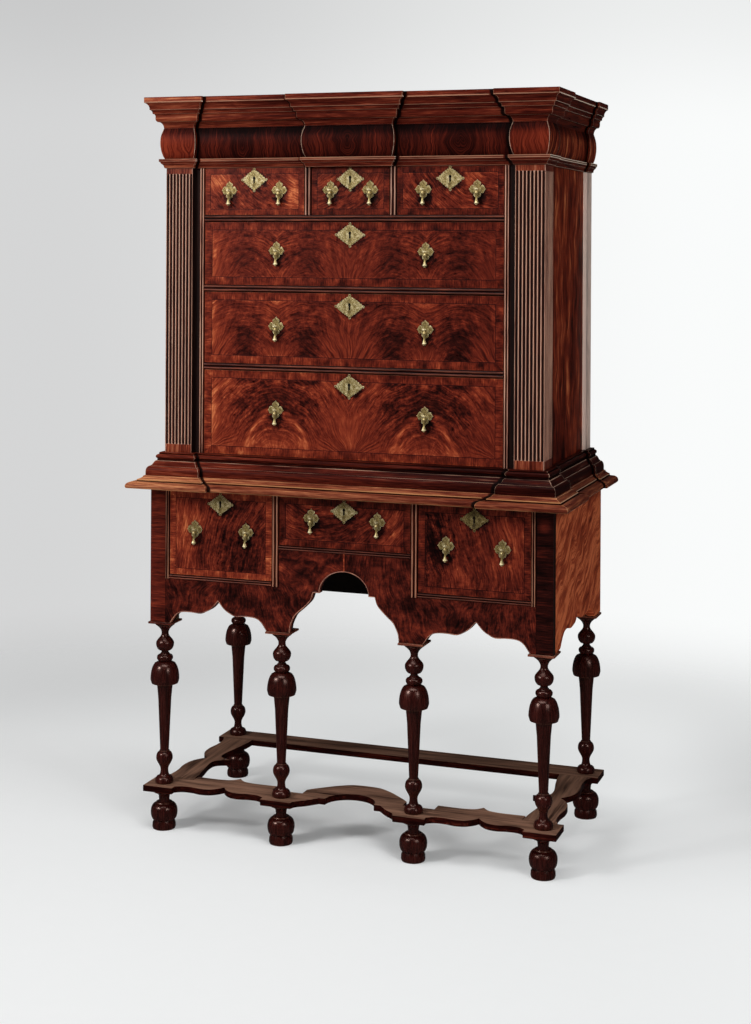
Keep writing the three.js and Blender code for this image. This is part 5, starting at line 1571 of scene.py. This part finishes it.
def make_drawers():
    half = OPENING_HALF
    for name, bottom, height, pull in (
            ("second", SECOND_BOTTOM, SECOND_ROW, 83), ("third", THIRD_BOTTOM, THIRD_ROW, 91),
            ("bottom", UPPER_BOTTOM, BOTTOM_ROW, 110.5)):
        make_drawer(name, (-half, half, bottom, bottom + height), DRAWER_FRONT, LONG_PULLS, pull,
                    LONG_LOCK, LONG_BAND)
    inner, outer = TOP_CENTRE_WIDTH / 2, TOP_CENTRE_WIDTH / 2 + TOP_PARTITION
    for name, left, right, spacing in (
            ("top_left", -half, -outer, SIDE_PULLS),
            ("top_centre", -inner, inner, TOP_CENTRE_PULLS),
            ("top_right", outer, half, SIDE_PULLS)):
        make_drawer(name, (left, right, TOP_BOTTOM, FRIEZE_BOTTOM), DRAWER_FRONT, spacing,
                    TOP_PULL_HEIGHT, TOP_LOCK, TOP_BAND)
    middle = CENTRE_DRAWER_WIDTH / 2
    for name, left, right, bottom, spacing, pull in (
            ("lower_left", -OUTER_OUTER, -OUTER_INNER, OUTER_DRAWER_BOTTOM, LOWER_PULLS, 112),
            ("lower_centre", -middle, middle, CENTRE_DRAWER_BOTTOM, LOWER_CENTRE_PULLS, 68.2),
            ("lower_right", OUTER_INNER, OUTER_OUTER, OUTER_DRAWER_BOTTOM, LOWER_PULLS, 112)):
        make_drawer(name, (left, right, bottom, WAIST_BOTTOM), LOWER_FRONT, spacing, pull,
                    LOWER_LOCK, LOWER_BAND)


# ---- Camera, floor and light

SKY = (0.97, 0.985, 1.0, 1)


def make_camera():
    data = bpy.data.cameras.new("camera")
    camera = bpy.data.objects.new("camera", data)
    bpy.context.scene.collection.objects.link(camera)
    bpy.context.scene.camera = camera
    data.sensor_width = 36
    data.lens = 60.32
    data.shift_y = -0.261
    camera.location = (1.3987, -3.9657, 1.4205)
    camera.rotation_euler = Euler((math.radians(90), -0.0054, 0.3402), "XYZ")


def make_floor():
    """A pale floor that keeps the shadows and fades out towards the backdrop."""
    size, rings, sides = 9.0, 24, 96
    points, faces = [(0, 0, 0)], []
    for ring in range(1, rings + 1):
        for side in range(sides):
            turn, reach = 2 * math.pi * side / sides, size * ring / rings
            points.append((reach * math.cos(turn), reach * math.sin(turn), 0))
    for side in range(sides):
        after = (side + 1) % sides
        faces.append((0, 1 + side, 1 + after))
        for ring in range(rings - 1):
            start = 1 + ring * sides
            faces.append((start + side, start + sides + side, start + sides + after, start + after))
    mesh = bpy.data.meshes.new("floor")
    mesh.from_pydata(points, [], faces)
    floor = bpy.data.objects.new("floor", mesh)
    bpy.context.scene.collection.objects.link(floor)
    floor.location.z = -0.0005
    mesh.materials.append(floor_material())


def sideways_of(x, y):
    """The way across the camera's view, from left to right."""
    return x * 0.943 + y * 0.334


def floor_material():
    recipe = Recipe("studio_floor")
    x, y, _ = recipe.place()
    distance = (x.squared() + (y + FRAME_SHIFT_Y + 700).squared()).root()
    sideways = sideways_of(x, y)
    speck = recipe.noise((x * 0.02, y * 0.02, 0), 4)
    paint = recipe.ramp(speck * 0.1 + 0.5, [(0.0, (0.88, 0.89, 0.89)), (1.0, (0.93, 0.94, 0.94))])
    recipe.finish(paint, speck * 0.02 + 0.75, Specular_IOR_Level=0.0)
    far_right = sideways.fade(400, 1000) * y.fade(-300, 300) * y.fade(2600, 1400)
    pale = recipe.ramp(sideways.fade(-1600, 1500) - far_right * 0.5,
                       [(0.0, (0.76, 0.77, 0.77)), (1.0, (0.96, 0.98, 0.98))])
    near = (x.squared() + (y - 100).squared()).root().fade(1700, 900)
    # Painted light: the camera glow is raised on the floor behind the object, over its shadow
    painted_light_behind = y.fade(60, 450) * x.fade(950, 500) * near * 0.3
    # Painted shade: the glow is lowered just in front of the object, so its shadow there reads
    # darker
    painted_shade_in_front = y.fade(200, -150) * y.fade(-520, -330) * abs(x + 120).fade(560, 180) * -0.2
    path = recipe.node("LightPath").outputs
    lift = sideways.fade(250, 900) * 0.18 + painted_light_behind + painted_shade_in_front + 0.36
    share = Number(path["Is Camera Ray"]) * lift
    lifted = recipe.mix_shader(share, recipe.shader, recipe.node("Emission", Color=pale))
    clear = distance.fade(1500, 3400).most(Number(path["Is Glossy Ray"]) * 0.95)
    recipe.surface(recipe.mix_shader(clear, lifted, recipe.node("BsdfTransparent")))
    return recipe.owner


def make_world():
    """Plain grey light, and a pale backdrop that grows lighter towards one side for the camera."""
    recipe = Recipe("studio", bpy.data.worlds)
    bpy.context.scene.world = recipe.owner
    x, y, z = recipe.split(recipe.node("TexCoord").outputs["Generated"])
    pale = recipe.ramp(sideways_of(x, y).fade(-0.2, 0.2),
                       [(0.0, (0.665, 0.668, 0.67)), (1.0, (0.955, 0.968, 0.965))])
    seen = recipe.node("Background", Color=pale, Strength=z.fade(0.06, 0.15) * -0.12 + 1)
    plain, reflected = (recipe.node("Background", Color=SKY, Strength=strength)
                        for strength in (0.12, 0.03))
    path = recipe.node("LightPath").outputs
    lighting = recipe.mix_shader(path["Is Glossy Ray"], plain, reflected)
    shown = Number(path["Is Camera Ray"]).most(Number(path["Is Transmission Ray"]))
    recipe.surface(recipe.mix_shader(shown, lighting, seen))


def area_light(name, place, target, size, power):
    data = bpy.data.lights.new(name, "AREA")
    data.shape = "RECTANGLE"
    data.size, data.size_y = size
    data.energy = power
    lamp = bpy.data.objects.new(name, data)
    lamp.location = place
    lamp.rotation_euler = (Vector(target) - Vector(place)).to_track_quat("-Z", "Y").to_euler()
    bpy.context.scene.collection.objects.link(lamp)


def make_lights():
    area_light("key_light", (-2.4, -3.0, 2.7), (0, 0, 0.9), (0.8, 0.9), 82)
    area_light("fill_light", (3.0, -2.6, 2.4), (0, 0, 0.9), (0.8, 1.2), 36)
    area_light("overhead_light", (0.0, -1.1, 3.7), (0, -0.1, 0.6), (2.4, 1.6), 66)


bpy.context.scene.view_settings.view_transform = "Standard"
make_camera()
make_floor()
make_world()
make_lights()
make_mouldings()
make_pilasters()
make_dividers()
dress_boards()
make_lower_case()
make_legs_and_feet()
make_stretchers()
make_drawers()
